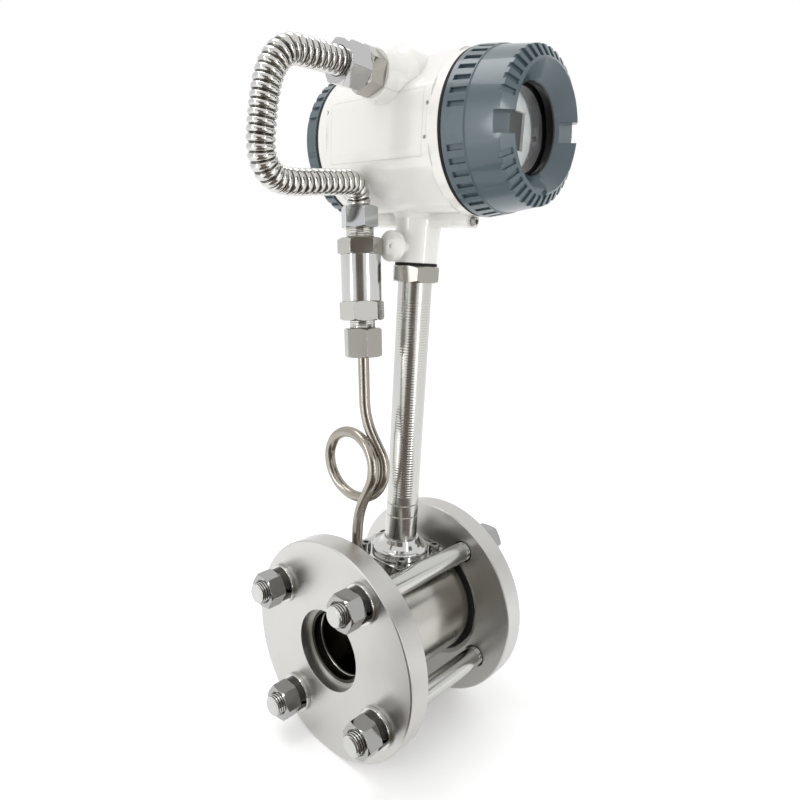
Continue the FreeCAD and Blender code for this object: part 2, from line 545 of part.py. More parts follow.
def make_sensor_plate():
    """The square plate with its round hat and the flare that the stem is welded in."""
    body = new_body("sensor_plate", y=s("sensor_place"))
    square = new_sketch(body, "plate_square", "XY_Plane", height=PLATE_LOW)
    wide, long = "Size.seat_wide / 2", "Size.seat_long / 2"
    add_outline(square, rectangle("-" + wide, wide, "-" + long, long))
    block = extrude(body, "Pad", "plate", square, s("plate_thk"))
    corners = edges_along(block, Z_AXIS, size("plate_thk") * 0.99)
    rounded(body, "plate_corners", block, corners, s("seat_round"))
    hat, groove = "Size.hat_od / 2", "(Size.hat_od / 2 - Size.hat_groove_deep)"
    groove_low = "(%s + Size.hat_groove_low)" % PLATE_TOP
    groove_top = "(%s + Size.hat_groove_high)" % groove_low
    hat_top = "(%s + Size.hat_high)" % PLATE_TOP
    flare_top = "(%s + Size.flare_high)" % hat_top
    turned(body, "hat", "XZ_Plane", "V_Axis", [
        ("0", "%s - 1" % PLATE_TOP), (hat, "%s - 1" % PLATE_TOP), (hat, groove_low), (groove, groove_low),
        (groove, groove_top), (hat, groove_top), (hat, "%s - 0.9" % hat_top), ("%s - 0.9" % hat, hat_top),
        ("Size.hat_top_od / 2", hat_top), ("Size.hat_top_od / 2 - 2.6", "%s + 1.2" % hat_top),
        ("Size.flare_od / 2 + 1.2", "%s + Size.flare_high * 0.55" % hat_top),
        ("Size.flare_od / 2", flare_top), ("0", flare_top)])
    bore = "(Size.stem_od / 2 - Size.stem_wall)"
    turned(body, "stem_socket", "XZ_Plane", "V_Axis", [
        ("0", PLATE_LOW), (bore, PLATE_LOW), (bore, STEM_LOW),
        ("Size.stem_od / 2 + Size.stem_play", STEM_LOW),
        ("Size.stem_od / 2 + Size.stem_play", flare_top), ("0", flare_top)], kind="Groove")
    holes = new_sketch(body, "plate_screw_places", "XY_Plane", height=PLATE_TOP)
    for side_x in ("-", ""):
        for side_y in ("-", ""):
            add_circle(holes, side_x + "Size.screw_pitch / 2", side_y + "Size.screw_pitch / 2",
                       "Size.screw_size + 4 * Size.screw_play")
    extrude(body, "Pocket", "plate_screw_holes", holes, s("plate_thk"))
    return keep(body)


def make_plate_screws():
    """Four socket-head screws that hold the plate on its seat."""
    master = new_body("one_plate_screw")
    head, shank = "Size.screw_head_od / 2", "Size.screw_size / 2"
    turned(master, "screw", "XZ_Plane", "V_Axis", [
        ("0", "-Size.screw_length"), ("%s - 0.5" % shank, "-Size.screw_length"),
        (shank, "-Size.screw_length + 0.5"), (shank, "0"), (head, "0"), (head, "Size.screw_head_high - 0.5"),
        ("%s - 0.5" % head, s("screw_head_high")), ("0", s("screw_head_high"))])
    socket = new_sketch(master, "socket_hexagon", "XY_Plane", height=s("screw_head_high"))
    add_outline(socket, hexagon(s("screw_socket")))
    extrude(master, "Pocket", "socket", socket, s("screw_socket_deep"))
    half = size("screw_pitch") / 2
    top = size("body_od") / 2 + size("seat_rise") + size("seal_thk") + size("plate_thk")
    places = [Placement(Vector(x, size("sensor_place") + y, top), Rotation())
              for x in (-half, half) for y in (-half, half)]
    return placed_copies("plate_screws", master, places)


def make_stem():
    """The stem tube, its lock nut and the gasket below the head."""
    tube = new_body("stem_tube", y=s("sensor_place"))
    outer, inner = "Size.stem_od / 2", "(Size.stem_od / 2 - Size.stem_wall)"
    turned(tube, "tube", "XZ_Plane", "V_Axis", [
        (inner, STEM_LOW), (outer, STEM_LOW), (outer, "%s - 1" % STEM_TOP),
        ("%s - 1" % outer, STEM_TOP), (inner, STEM_TOP)])
    keep(tube)
    nut = new_body("stem_lock_nut", y=s("sensor_place"))
    top = "(%s + Size.lock_nut_high)" % LOCK_NUT_LOW
    hex_block(nut, "nut", s("lock_nut_across"), LOCK_NUT_LOW, top, turn=16)
    turned(nut, "thread_bore", "XZ_Plane", "V_Axis",
           rectangle("0", "Size.stem_od / 2 + Size.stem_play", LOCK_NUT_LOW, top), kind="Groove")
    keep(nut)
    gasket = new_body("neck_gasket", y=s("sensor_place"), z="Size.neck_low - Size.neck_gasket_thk")
    turned(gasket, "ring", "XZ_Plane", "V_Axis", rectangle(
        "Size.stem_od / 2 + Size.stem_play", "Size.neck_gasket_od / 2", "0", s("neck_gasket_thk")))
    keep(gasket)


# Instrument head; its pieces are drawn about the axis of the two covers

def head_body(label):
    """An empty body at the middle of the instrument head."""
    return new_body(label, y=s("sensor_place"), z=s("head_height"))


def make_housing():
    """The cast housing: eight-sided barrel, round collars, bosses, neck, lugs and two chambers."""
    body = head_body("housing")
    octagon = new_sketch(body, "barrel_octagon", "YZ_Plane", height="-Size.barrel_rear")
    corner = "Size.barrel_across / 2 / cos(22.5)"
    add_outline(octagon, [("%s * cos(%.1f)" % (corner, 22.5 + 45 * i),
                           "%s * sin(%.1f)" % (corner, 22.5 + 45 * i)) for i in range(8)])
    barrel = extrude(body, "Pad", "barrel", octagon, "Size.barrel_rear + Size.barrel_front")
    rounded(body, "barrel_corners", barrel, edges_along(barrel, X_AXIS, 10), s("barrel_round"))

    collar, rear_collar = "Size.collar_od / 2", "Size.rear_collar_od / 2"
    waist = "(Size.barrel_across / 2 - 2)"
    front_in = "(Size.front_face - Size.collar_long)"
    rear_in = "(Size.rear_face - Size.collar_long)"
    turned(body, "collars", "XZ_Plane", "H_Axis", [
        ("-Size.rear_face", "0"), ("-Size.rear_face", rear_collar), ("-" + rear_in, rear_collar),
        ("-%s + 4" % rear_in, waist), ("%s - 5" % front_in, waist), (front_in, collar),
        (s("front_face"), collar), (s("front_face"), "0")])

    boss, flare = "Size.boss_od / 2", "Size.boss_flare_od / 2"
    face, start, end = s("boss_face"), s("boss_flare_start"), s("boss_flare_end")
    middle = "(%s + %s) / 2" % (start, end)
    turned(body, "conduit_bosses", "XY_Plane", "V_Axis", [
        ("0", "-" + face), ("%s - 0.8" % boss, "-" + face), (boss, "-%s + 0.8" % face), (boss, "-" + start),
        ("%s + (%s - %s) * 0.3" % (boss, flare, boss), "-" + middle), (flare, "-" + end), (flare, end),
        ("%s + (%s - %s) * 0.3" % (boss, flare, boss), middle), (boss, start), (boss, "%s - 0.8" % face),
        ("%s - 0.8" % boss, face), ("0", face)], height=s("boss_height"), shift=(s("boss_x"), "0"))

    lug = new_sketch(body, "lug_outline", "YZ_Plane", height="-Size.lug_rear")
    lug_low, lug_side = "(Size.lug_low - Size.head_height)", "Size.lug_wide / 2"
    add_outline(lug, [("-" + lug_side, "%s + Size.lug_round" % lug_low),
                      ("-%s + Size.lug_round * 0.3" % lug_side, "%s + Size.lug_round * 0.3" % lug_low),
                      ("-%s + Size.lug_round" % lug_side, lug_low),
                      ("%s - Size.lug_round" % lug_side, lug_low),
                      ("%s - Size.lug_round * 0.3" % lug_side, "%s + Size.lug_round * 0.3" % lug_low),
                      (lug_side, "%s + Size.lug_round" % lug_low),
                      (lug_side, "-Size.chamber_od / 2"), ("-" + lug_side, "-Size.chamber_od / 2")])
    extrude(body, "Pad", "lock_lugs", lug, "Size.lug_rear + Size.lug_front")

    neck_low, neck_top = "(Size.neck_low - Size.head_height)", "(Size.neck_top - Size.head_height)"
    turned(body, "neck", "XZ_Plane", "V_Axis", [
        ("0", neck_low), ("Size.neck_low_od / 2", neck_low), ("Size.neck_top_od / 2", neck_top),
        ("Size.neck_top_od / 2 + 4", "%s + 7" % neck_top),
        ("Size.neck_top_od / 2 + 9", "-Size.chamber_od / 2"),
        ("0", "-Size.chamber_od / 2")])
    plug = new_sketch(body, "plug_boss_circle", "XZ_Plane")
    add_circle(plug, "0", "Size.plug_boss_height - Size.head_height", s("plug_stub_od"))
    extrude(body, "Pad", "plug_boss", plug, s("plug_boss_reach"))
    rim = new_sketch(body, "plug_rim_circle", "XZ_Plane", height="Size.plug_boss_reach - Size.plug_rim")
    add_circle(rim, "0", "Size.plug_boss_height - Size.head_height", s("plug_boss_od"))
    extrude(body, "Pad", "plug_rim", rim, s("plug_rim"))

    thread = "(Size.cover_thread / 2 + Size.thread_play)"
    room = "Size.chamber_od / 2"
    turned(body, "front_chamber", "XZ_Plane", "H_Axis", [
        (s("chamber_front"), "0"), (s("chamber_front"), room),
        ("Size.front_face - Size.skirt_long - 2", room),
        ("Size.front_face - Size.skirt_long - 2", thread), ("Size.front_face - 0.6", thread),
        (s("front_face"), "%s + 0.6" % thread), (s("front_face"), "0")], kind="Groove")
    turned(body, "rear_chamber", "XZ_Plane", "H_Axis", [
        (s("chamber_rear"), "0"), (s("chamber_rear"), room), ("-Size.rear_face + Size.skirt_long + 2", room),
        ("-Size.rear_face + Size.skirt_long + 2", thread), ("-Size.rear_face + 0.6", thread),
        ("-Size.rear_face", "%s + 0.6" % thread), ("-Size.rear_face", "0")], kind="Groove")

    round_hole(body, "stem_bore", "XY_Plane", "0", "0", "Size.stem_od + 2 * Size.stem_play",
               height=neck_low, length="Size.head_height - Size.neck_low", reverse=True)
    for name, thread_size, far in (("adapter_bore", "conduit_thread", True),
                                   ("entry_bore", "entry_thread", False)):
        conduit = new_sketch(body, name + "_circle", "XZ_Plane")
        add_circle(conduit, s("boss_x"), s("boss_height"), s(thread_size))
        extrude(body, "Pocket", name, conduit, s("boss_face"), reverse=far)
    round_hole(body, "plug_boss_dimple", "XZ_Plane", "0", "Size.plug_boss_height - Size.head_height",
               s("dimple"), height=s("plug_boss_reach"), length="1")
    round_hole(body, "wire_passage", "YZ_Plane", "0", s("wire_hole_height"), s("wire_hole"),
               height=s("chamber_front"), length="Size.chamber_front - Size.chamber_rear")
    holes = new_sketch(body, "nameplate_hole_places", "XZ_Plane", height="Size.barrel_across / 2",
                       turn="-Size.plate_tilt")
    for side_x in ("-", "+"):
        for side_z in ("-", "+"):
            add_circle(holes, "Size.plate_x %s Size.plate_long / 2" % side_x,
                       "Size.plate_z %s Size.plate_short / 2" % side_z, s("plate_hole"))
    extrude(body, "Pocket", "nameplate_holes", holes, s("plate_hole_deep"))
    lock_z = "(Size.lug_low - Size.head_height + Size.lock_screw / 2 + Size.lock_screw_wall)"
    for end, place, back in (("front", s("lug_front"), False), ("rear", "-Size.lug_rear", True)):
        round_hole(body, end + "_lock_hole", "YZ_Plane", "0", lock_z, "Size.lock_screw + 2 * Size.screw_play",
                   height=place, length="Size.lock_screw_long - Size.lock_screw_out + 1", reverse=back)
    for label, pitch, hole in (("module_screw_holes", "module_screw_pitch", "module_screw"),
                               ("terminal_screw_holes", "terminal_mount_pitch", "mount_screw")):
        places = new_sketch(body, label + "_places", "YZ_Plane", height=s("chamber_front"))
        up = "0" if label == "module_screw_holes" else s("terminal_z")
        for side in ("-", ""):
            add_circle(places, "%sSize.%s / 2" % (side, pitch), up, "Size.%s + 2 * Size.screw_play" % hole)
        extrude(body, "Pocket", label, places, "Size.chamber_front - Size.chamber_rear")
    return keep(body)


def radial_cuts(body, name, outline, wide, count, skip, tilt="0"):
    """Rows of straight slots cut into a round rim, in two halves that leave the sides plain."""
    cuts = []
    for half, turn in (("upper", 0), ("lower", 180)):
        sketch = new_sketch(body, "%s_%s_outline" % (name, half), "XZ_Plane", turn_axis=X_AXIS,
                            turn="-90 + %d + %s + %s" % (turn, skip, tilt))
        add_outline(sketch, outline)
        cuts.append(extrude(body, "Pocket", "%s_%s" % (name, half), sketch, wide, both=True))
    return polar(body, name, cuts, "X_Axis", "(%s - 1) * Size.slot_step" % count, count)


def rim_slot(start, end, low_od, high_od):
    """The outline of one slot in a cover's rim, seen from the side."""
    out = "%s / 2 + 3" % low_od
    return [(start, "%s / 2 - Size.slot_deep" % low_od), (end, "%s / 2 - Size.slot_deep" % high_od),
            (end, out), (start, out)]


def make_front_cover():
    """The front cover: slotted rim, tapering band, ribbed bevel, funnel, window and notches."""
    body = head_body("front_cover")
    rim, thread, wall = "Size.rim_od / 2", "Size.cover_thread / 2", "Size.cover_wall_od / 2"
    rim_end = "(%s + Size.rim_long)" % FRONT_SEAT
    skirt_end = "(Size.front_face - Size.skirt_long)"
    glass, shoulder = "(Size.glass_od / 2 + Size.glass_play)", s("glass_shoulder")
    ring_back = "(Size.glass_shoulder - Size.glass_seal - Size.glass_thk - Size.ring_long)"
    turned(body, "shell", "XZ_Plane", "H_Axis", [
        (skirt_end, wall), (skirt_end, "%s - 1" % thread), ("%s + 1" % skirt_end, thread),
        (FRONT_SEAT, thread), (FRONT_SEAT, "%s - Size.rim_edge" % rim),
        ("%s + Size.rim_edge" % FRONT_SEAT, rim),
        (rim_end, "Size.rim_front_od / 2"), ("%s + 0.6" % rim_end, "Size.band_start_od / 2"),
        (s("band_end"), "Size.band_end_od / 2"), (s("cover_front"), "Size.bevel_end_od / 2"),
        (s("window_depth"), "Size.window_od / 2"), (shoulder, "Size.window_od / 2"), (shoulder, glass),
        (ring_back, glass), (ring_back, "%s + 3" % glass), ("%s + 5" % ring_back, wall)])
    radial_cuts(body, "rim_slots", rim_slot(
        "%s + Size.slot_start" % FRONT_SEAT, "%s + Size.slot_end" % FRONT_SEAT,
        "(Size.rim_od * 0.6 + Size.rim_front_od * 0.4)", "Size.rim_front_od"),
        s("slot_wide"), s("slot_count"), s("slot_skip"), s("cover_turn"))
    run = "(Size.cover_front - Size.band_end)"
    fall = "((Size.band_end_od - Size.bevel_end_od) / 2)"
    floor, edge = "(Size.band_end - Size.rib_deep)", "Size.band_end_od / 2"
    radial_cuts(body, "bevel_ribs", [
        ("%s - %s * 0.12" % (floor, run), "%s + %s * 0.12" % (edge, fall)),
        ("%s - %s * 0.12" % (floor, run), edge + " + 3"), ("Size.cover_front + 3", edge + " + 3"),
        ("Size.cover_front + 3", "%s - %s * 0.8" % (edge, fall)),
        ("%s + %s * 0.8" % (floor, run), "%s - %s * 0.8" % (edge, fall))],
        s("rib_wide"), s("rib_count"), s("rib_skip"), s("cover_turn"))
    notch = new_sketch(body, "wrench_notch_outline", "YZ_Plane", height=s("notch_floor"),
                       turn=s("cover_turn"))
    half, out = "Size.notch_wide / 2", "(Size.rim_od / 2 + 2)"
    add_outline(notch, rectangle("-" + out, out, "-" + half, half))
    extrude(body, "Pocket", "wrench_notches", notch, "Size.cover_front - Size.notch_floor + 2", reverse=True)
    recess = new_sketch(body, "face_recess_outline", "YZ_Plane",
                        height="Size.cover_front - Size.face_recess_deep")
    half = "Size.face_recess_wide / 2"
    add_outline(recess, rectangle("-" + half, half, "-" + out, "0"))
    extrude(body, "Pocket", "face_recess", recess, "Size.face_recess_deep + 2", reverse=True)
    return keep(body)


def make_rear_cover():
    """The rear cover: a slotted rim and a dished end with two wrench notches."""
    body = head_body("rear_cover")
    rim, thread, wall = "Size.rear_rim_od / 2", "Size.cover_thread / 2", "Size.cover_wall_od / 2"
    end, skirt_end = s("rear_cover_end"), "(Size.rear_face - Size.skirt_long)"
    inside = "(Size.rear_cover_end - Size.rear_wall)"
    turned(body, "shell", "XZ_Plane", "H_Axis", [
        ("-" + skirt_end, wall), ("-" + skirt_end, "%s - 1" % thread), ("-%s - 1" % skirt_end, thread),
        ("-" + REAR_SEAT, thread), ("-" + REAR_SEAT, "%s - Size.rim_edge" % rim),
        ("-%s - Size.rim_edge" % REAR_SEAT, rim), ("-%s - Size.rear_rim_long" % REAR_SEAT, rim),
        ("-" + end, "Size.rear_end_od / 2"), ("-" + end, "Size.rear_dish_od / 2"),
        ("-%s + Size.rear_dish_deep" % end, "Size.rear_dish_od / 2 - 3"),
        ("-%s + Size.rear_dish_deep" % end, "0"),
        ("-" + inside, "0"), ("-" + inside, "%s - 3" % wall), ("-%s + 3" % inside, wall)])
    radial_cuts(body, "rim_slots", rim_slot(
        "-%s - Size.rear_slot_start" % REAR_SEAT, "-%s - Size.rear_slot_end" % REAR_SEAT,
        "Size.rear_rim_od", "Size.rear_rim_od"), s("slot_wide"), s("slot_count"), s("slot_skip"))
    notch = new_sketch(body, "wrench_notch_outline", "YZ_Plane", height="-%s + Size.rear_dish_deep" % end)
    half, out = "Size.notch_wide / 2", "(Size.rear_rim_od / 2 + 2)"
    add_outline(notch, rectangle("-" + out, out, "-" + half, half))
    extrude(body, "Pocket", "wrench_notches", notch, "Size.rear_dish_deep + 2")
    return keep(body)


def make_cover_seals():
    """Flat black rings between the housing's collars and the covers."""
    for label, low, outside in (("front_cover_seal", s("front_face"), s("cover_seal_od")),
                                ("rear_cover_seal", "-" + REAR_SEAT, s("rear_seal_od"))):
        body = head_body(label)
        turned(body, "ring", "XZ_Plane", "H_Axis", rectangle(
            low, "%s + Size.cover_seal" % low, "Size.cover_thread / 2 + 2 * Size.thread_play",
            outside + " / 2"))
        keep(body)


def make_window():
    """The window glass, its seal and the slotted ring that holds it in the front cover."""
    play = s("glass_play")
    seal = head_body("glass_seal")
    seal_back = "(Size.glass_shoulder - Size.glass_seal)"
    turned(seal, "ring", "XZ_Plane", "H_Axis", rectangle(
        seal_back, s("glass_shoulder"), "Size.window_od / 2 + 0.3", "Size.glass_od / 2"))
    keep(seal)
    glass = head_body("window_glass")
    glass_back, disc = "(%s - Size.glass_thk)" % seal_back, "Size.glass_od / 2"
    turned(glass, "disc", "XZ_Plane", "H_Axis", [
        (glass_back, "0"), (glass_back, "%s - 0.5" % disc), ("%s + 0.5" % glass_back, disc),
        ("%s - 0.5" % seal_back, disc), (seal_back, "%s - 0.5" % disc), (seal_back, "0")])
    keep(glass)
    ring = head_body("glass_ring")
    ring_back = "(%s - Size.ring_long)" % glass_back
    turned(ring, "ring", "XZ_Plane", "H_Axis", rectangle(
        ring_back, glass_back, "Size.ring_bore / 2", "Size.glass_od / 2 + %s / 2" % play))
    slots = new_sketch(ring, "ring_slot_outline", "YZ_Plane", height=ring_back)
    half, out = "Size.ring_slot / 2", "Size.glass_od / 2 + 2"
    add_outline(slots, rectangle("-(%s)" % out, out, "-" + half, half))
    extrude(ring, "Pocket", "ring_slots", slots, "Size.ring_long * 0.4", reverse=True)
    keep(ring)


def make_electronics():
    """The electronics module, its two screws, the display board and the display panel."""
    module = head_body("electronics_module")
    back = "(Size.chamber_front + Size.module_rear)"
    radius = "Size.module_od / 2"
    turned(module, "puck", "XZ_Plane", "H_Axis", [
        (back, "0"), (back, "%s - 2" % radius), ("%s + 2" % back, radius), (s("module_front"), radius),
        (s("module_front"), "0")])
    feet = new_sketch(module, "feet_circles", "YZ_Plane", height=s("chamber_front"))
    holes = new_sketch(module, "screw_places", "YZ_Plane", height=s("module_front"))
    for side in ("-", ""):
        add_circle(feet, side + "Size.module_screw_pitch / 2", "0", s("module_foot"))
        add_circle(holes, side + "Size.module_screw_pitch / 2", "0",
                   "Size.module_screw + 4 * Size.screw_play")
    extrude(module, "Pad", "feet", feet, "Size.module_rear + 4")
    extrude(module, "Pocket", "screw_holes", holes, "Size.module_front - Size.chamber_front")
    keep(module)

    screw = new_body("one_module_screw")
    length = "(Size.module_front - Size.chamber_rear)"
    turned(screw, "screw", "YZ_Plane", "V_Axis", [
        ("0", "-" + length), ("Size.module_screw / 2", "-" + length), ("Size.module_screw / 2", "0"),
        ("Size.module_screw_head / 2", "0"),
        ("Size.module_screw_head / 2", "Size.module_screw_head_high * 0.6"),
        ("Size.module_screw_head / 2 - 1", s("module_screw_head_high")), ("0", s("module_screw_head_high"))])
    slot = new_sketch(screw, "slot_outline", "XY_Plane", height=s("module_screw_head_high"))
    add_outline(slot, rectangle("-0.5", "0.5", "-Size.module_screw_head", s("module_screw_head")))
    extrude(screw, "Pocket", "slot", slot, "Size.module_screw_head_high / 2")
    places = [Placement(Vector(size("module_front"),
                               size("sensor_place") + side * size("module_screw_pitch") / 2,
                               size("head_height")), Rotation(Y_AXIS, 90)) for side in (-1, 1)]
    placed_copies("module_screws", screw, places)

    board = head_body("display_board")
    board_back = "(Size.module_front + Size.module_screw_head_high)"
    turned(board, "disc", "XZ_Plane", "H_Axis", rectangle(
        board_back, BOARD_FRONT, "0", "Size.board_od / 2"))
    switches = new_sketch(board, "switch_squares", "YZ_Plane", height=BOARD_FRONT)
    half = "Size.switch_side / 2"
    for spot in (-1, 0, 1):
        middle = "%d * Size.key_pitch" % spot
        add_outline(switches, rectangle("%s - %s" % (middle, half), "%s + %s" % (middle, half),
                                        "Size.key_z - " + half, "Size.key_z + " + half))
    extrude(board, "Pad", "switches", switches, "%s - %s" % (SWITCH_TOP, BOARD_FRONT))
    posts = new_sketch(board, "post_circles", "YZ_Plane", height=s("module_front"))
    for side_y in ("-", ""):
        for side_z in ("-", ""):
            add_circle(posts, side_y + "Size.board_od * 0.3", side_z + "Size.board_od * 0.3",
                       s("switch_side"))
    extrude(board, "Pad", "posts", posts, s("module_screw_head_high"))
    keep(board)

    panel = head_body("lcd_panel")
    face = new_sketch(panel, "panel_outline", "YZ_Plane", height=BOARD_FRONT)
    half_long, half_high = "Size.lcd_long / 2", "Size.lcd_high / 2"
    add_outline(face,
                rectangle("-" + half_long, half_long, "Size.lcd_z - " + half_high,
                          "Size.lcd_z + " + half_high))
    extrude(panel, "Pad", "panel", face, s("lcd_thk"))
    keep(panel)


def make_bezel():
    """The display's front plate: a shallow cap with a window and three key holes."""
    body = head_body("display_bezel")
    radius, back = "Size.bezel_od / 2", BEZEL_BACK
    inner = "(Size.bezel_od / 2 - Size.bezel_wall)"
    turned(body, "cap", "XZ_Plane", "H_Axis", [
        (s("module_front"), inner), (s("module_front"), radius), ("Size.bezel_front - 0.8", radius),
        (s("bezel_front"), "%s - 0.8" % radius), (s("bezel_front"), "0"), (back, "0"), (back, inner)])
    window = new_sketch(body, "window_outline", "YZ_Plane", height=s("bezel_front"))
    half_long, half_high = "Size.window_long / 2", "Size.window_high / 2"
    add_outline(window,
                rectangle("-" + half_long, half_long, "Size.lcd_z - " + half_high,
                          "Size.lcd_z + " + half_high))
    extrude(body, "Pocket", "window", window, s("bezel_thk"))
    keys = new_sketch(body, "key_hole_places", "YZ_Plane", height=s("bezel_front"))
    for spot in (-1, 0, 1):
        add_circle(keys, "%d * Size.key_pitch" % spot, s("key_z"), "Size.key_od + 2 * Size.key_play")
    extrude(body, "Pocket", "key_holes", keys, s("bezel_thk"))
    return keep(body)


def make_keys():
    """Three push keys, each kept in the front plate by a flange behind it."""
    for label, spot in (("key_left", -1), ("key_middle", 0), ("key_right", 1)):
        body = new_body(label, y="Size.sensor_place + %d * Size.key_pitch" % spot,
                        z="Size.head_height + Size.key_z")
        cap, flange = "Size.key_od / 2", "Size.key_flange_od / 2"
        front = "(Size.bezel_front + Size.key_proud)"
        stop = "(%s - Size.key_stop)" % BEZEL_BACK
        turned(body, "key", "XZ_Plane", "H_Axis", [
            (KEY_BACK, "0"), (KEY_BACK, flange), (stop, flange), (stop, cap), ("%s - 0.5" % front, cap),
            (front, "%s - 0.5" % cap), (front, "0")])
        keep(body)


def make_terminals():
    """The terminal block behind the partition, with its clamp screws and fixing screws."""
    block = head_body("terminal_block")
    rear = "(Size.chamber_rear - Size.terminal_deep)"
    half_long, half_high = "Size.terminal_long / 2", "Size.terminal_high / 2"
    face = new_sketch(block, "block_outline", "YZ_Plane", height=rear)
    add_outline(face, rectangle("-" + half_long, half_long, "Size.terminal_z - " + half_high,
                                "Size.terminal_z + " + half_high))
    extrude(block, "Pad", "block", face, s("terminal_deep"))
    cells = new_sketch(block, "cell_outlines", "YZ_Plane", height=rear)
    mounts = new_sketch(block, "mount_places", "YZ_Plane", height=rear)
    count = int(size("terminal_count"))
    for spot in range(count):
        middle = "(%d - (Size.terminal_count - 1) / 2) * Size.terminal_pitch" % spot
        add_outline(cells,
                    rectangle("%s - Size.terminal_pitch * 0.4" % middle,
                              "%s + Size.terminal_pitch * 0.4" % middle,
                              "Size.terminal_z - Size.terminal_high * 0.3",
                              "Size.terminal_z + " + half_high))
    extrude(block, "Pocket", "cells", cells, "Size.terminal_deep * 0.35", reverse=True)
    for side in ("-", ""):
        add_circle(mounts, side + "Size.terminal_mount_pitch / 2", s("terminal_z"),
                   "Size.mount_screw + 4 * Size.screw_play")
    extrude(block, "Pocket", "mount_holes", mounts, s("terminal_deep"), reverse=True)
    keep(block)

    screw = new_body("one_terminal_screw")
    turned(screw, "screw", "XZ_Plane", "V_Axis", [
        ("0", "0"), ("Size.terminal_screw / 2", "0"),
        ("Size.terminal_screw / 2", "Size.terminal_screw_high * 0.7"),
        ("Size.terminal_screw / 2 - 0.5", s("terminal_screw_high")), ("0", s("terminal_screw_high"))])
    floor = size("chamber_rear") - size("terminal_deep") * 0.65
    places = [Placement(Vector(floor,
                               size("sensor_place") + (spot - (count - 1) / 2) * size("terminal_pitch"),
                               size("head_height") + size("terminal_z")), Rotation(Y_AXIS, -90))
              for spot in range(count)]
    placed_copies("terminal_screws", screw, places)

    mount = new_body("one_mount_screw")
    turned(mount, "screw", "XZ_Plane", "V_Axis", [
        ("0", "-Size.mount_screw_long"), ("Size.mount_screw / 2", "-Size.mount_screw_long"),
        ("Size.mount_screw / 2", "0"),
        ("Size.mount_screw_head / 2", "0"), ("Size.mount_screw_head / 2", "Size.mount_screw_high * 0.6"),
        ("Size.mount_screw_head / 2 - 0.8", s("mount_screw_high")), ("0", s("mount_screw_high"))])
    places = [Placement(Vector(size("chamber_rear") - size("terminal_deep"),
                               size("sensor_place") + side * size("terminal_mount_pitch") / 2,
                               size("head_height") + size("terminal_z")),
                        Rotation(Y_AXIS, -90)) for side in (-1, 1)]
    placed_copies("terminal_mount_screws", mount, places)


def make_lock_screws():
    """One screw in each lug, beside the rim of each cover."""
    master = new_body("one_lock_screw")
    radius, inside = "Size.lock_screw / 2", "(Size.lock_screw_long - Size.lock_screw_out)"
    turned(master, "screw", "XZ_Plane", "V_Axis", [
        ("0", "-" + inside), ("%s - 0.8" % radius, "-" + inside), (radius, "-%s + 0.8" % inside),
        (radius, "Size.lock_screw_out - 0.5"), ("%s - 0.5" % radius, s("lock_screw_out")),
        ("0", s("lock_screw_out"))])
    socket = new_sketch(master, "socket_hexagon", "XY_Plane", height=s("lock_screw_out"))
    add_outline(socket, hexagon(s("lock_socket")))
    extrude(master, "Pocket", "socket", socket, s("lock_socket"))
    height = size("lug_low") + size("lock_screw") / 2 + size("lock_screw_wall")
    places = [Placement(Vector(size("lug_front"), size("sensor_place"), height), Rotation(Y_AXIS, 90)),
              Placement(Vector(-size("lug_rear"), size("sensor_place"), height), Rotation(Y_AXIS, -90))]
    return placed_copies("cover_lock_screws", master, places)


# Pressure line

def rounded_path(points):
    """Straight runs joined by tangent arcs, each arc as large as its two runs allow."""
    corners = [Vector(*point) for point in points]
    edges, radii = [], []
    last = corners[0]
    for before, corner, after in zip(corners, corners[1:], corners[2:]):
        back, ahead = before - corner, after - corner
        half_turn = (math.pi - back.getAngle(ahead)) / 2
        reach = 0.45 * min(back.Length, ahead.Length)
        radius = reach / math.tan(half_turn)
        start, end = corner + back.normalize() * reach, corner + ahead.normalize() * reach
        inward = (back + ahead).normalize()
        middle = corner + inward * (radius / math.cos(half_turn) - radius)
        if (start - last).Length > 1e-6:
            edges.append(Part.LineSegment(last, start).toShape())
        edges.append(Part.Arc(start, middle, end).toShape())
        radii.append(radius)
        last = end
    edges.append(Part.LineSegment(last, corners[-1]).toShape())
    return Part.Wire(edges), radii


def round_pipe(path, diameter):
    """A round bar along a path, checked against its section times its length."""
    first = path.Edges[0]
    circle = Part.Circle(first.Vertexes[0].Point, first.tangentAt(first.FirstParameter), diameter / 2)
    solid = path.makePipeShell([Part.Wire(circle.toShape())], True, False)
    expected = math.pi * diameter ** 2 / 4 * path.Length
    if abs(solid.Volume / expected - 1) > 0.01:
        raise ValueError("a pipe's volume does not match its length")
    return solid


def lean_point(height):
    """A point on the pressure sensor's leaning axis, by its height along that axis."""
    lean = math.radians(size("press_lean"))
    return (size("press_x") - height * math.sin(lean), size("press_y"),
            size("press_low") + height * math.cos(lean))


def siphon_route():
    """The siphon's corners: up from the tap, once round the oval loop and up to the sensor."""
    points = [(size("tap_x"), size("tap_y"), size("tap_top") - size("tap_socket")),
              (size("tap_x"), size("tap_y"), size("siphon_bend_z"))]
    steps = int(size("loop_steps"))
    step = size("loop_turn") / steps
    outside = 1 / math.cos(math.radians(step / 2))
    for i in range(steps):
        share = (i + 0.5) / steps
        angle = math.radians(size("loop_start") + size("loop_turn") * share)
        across = size("loop_wide") * outside * math.cos(angle)
        up = size("loop_high") * outside * math.sin(angle)
        points.append((size("loop_x") + size("loop_x_shift") * share + across,
                       size("loop_y") + size("loop_pitch") * share,
                       size("loop_z") + size("loop_z_shift") * share + up))
    points.append(lean_point(-size("riser_bend")))
    points.append(lean_point(size("port_low") + size("port_socket")))
    return points


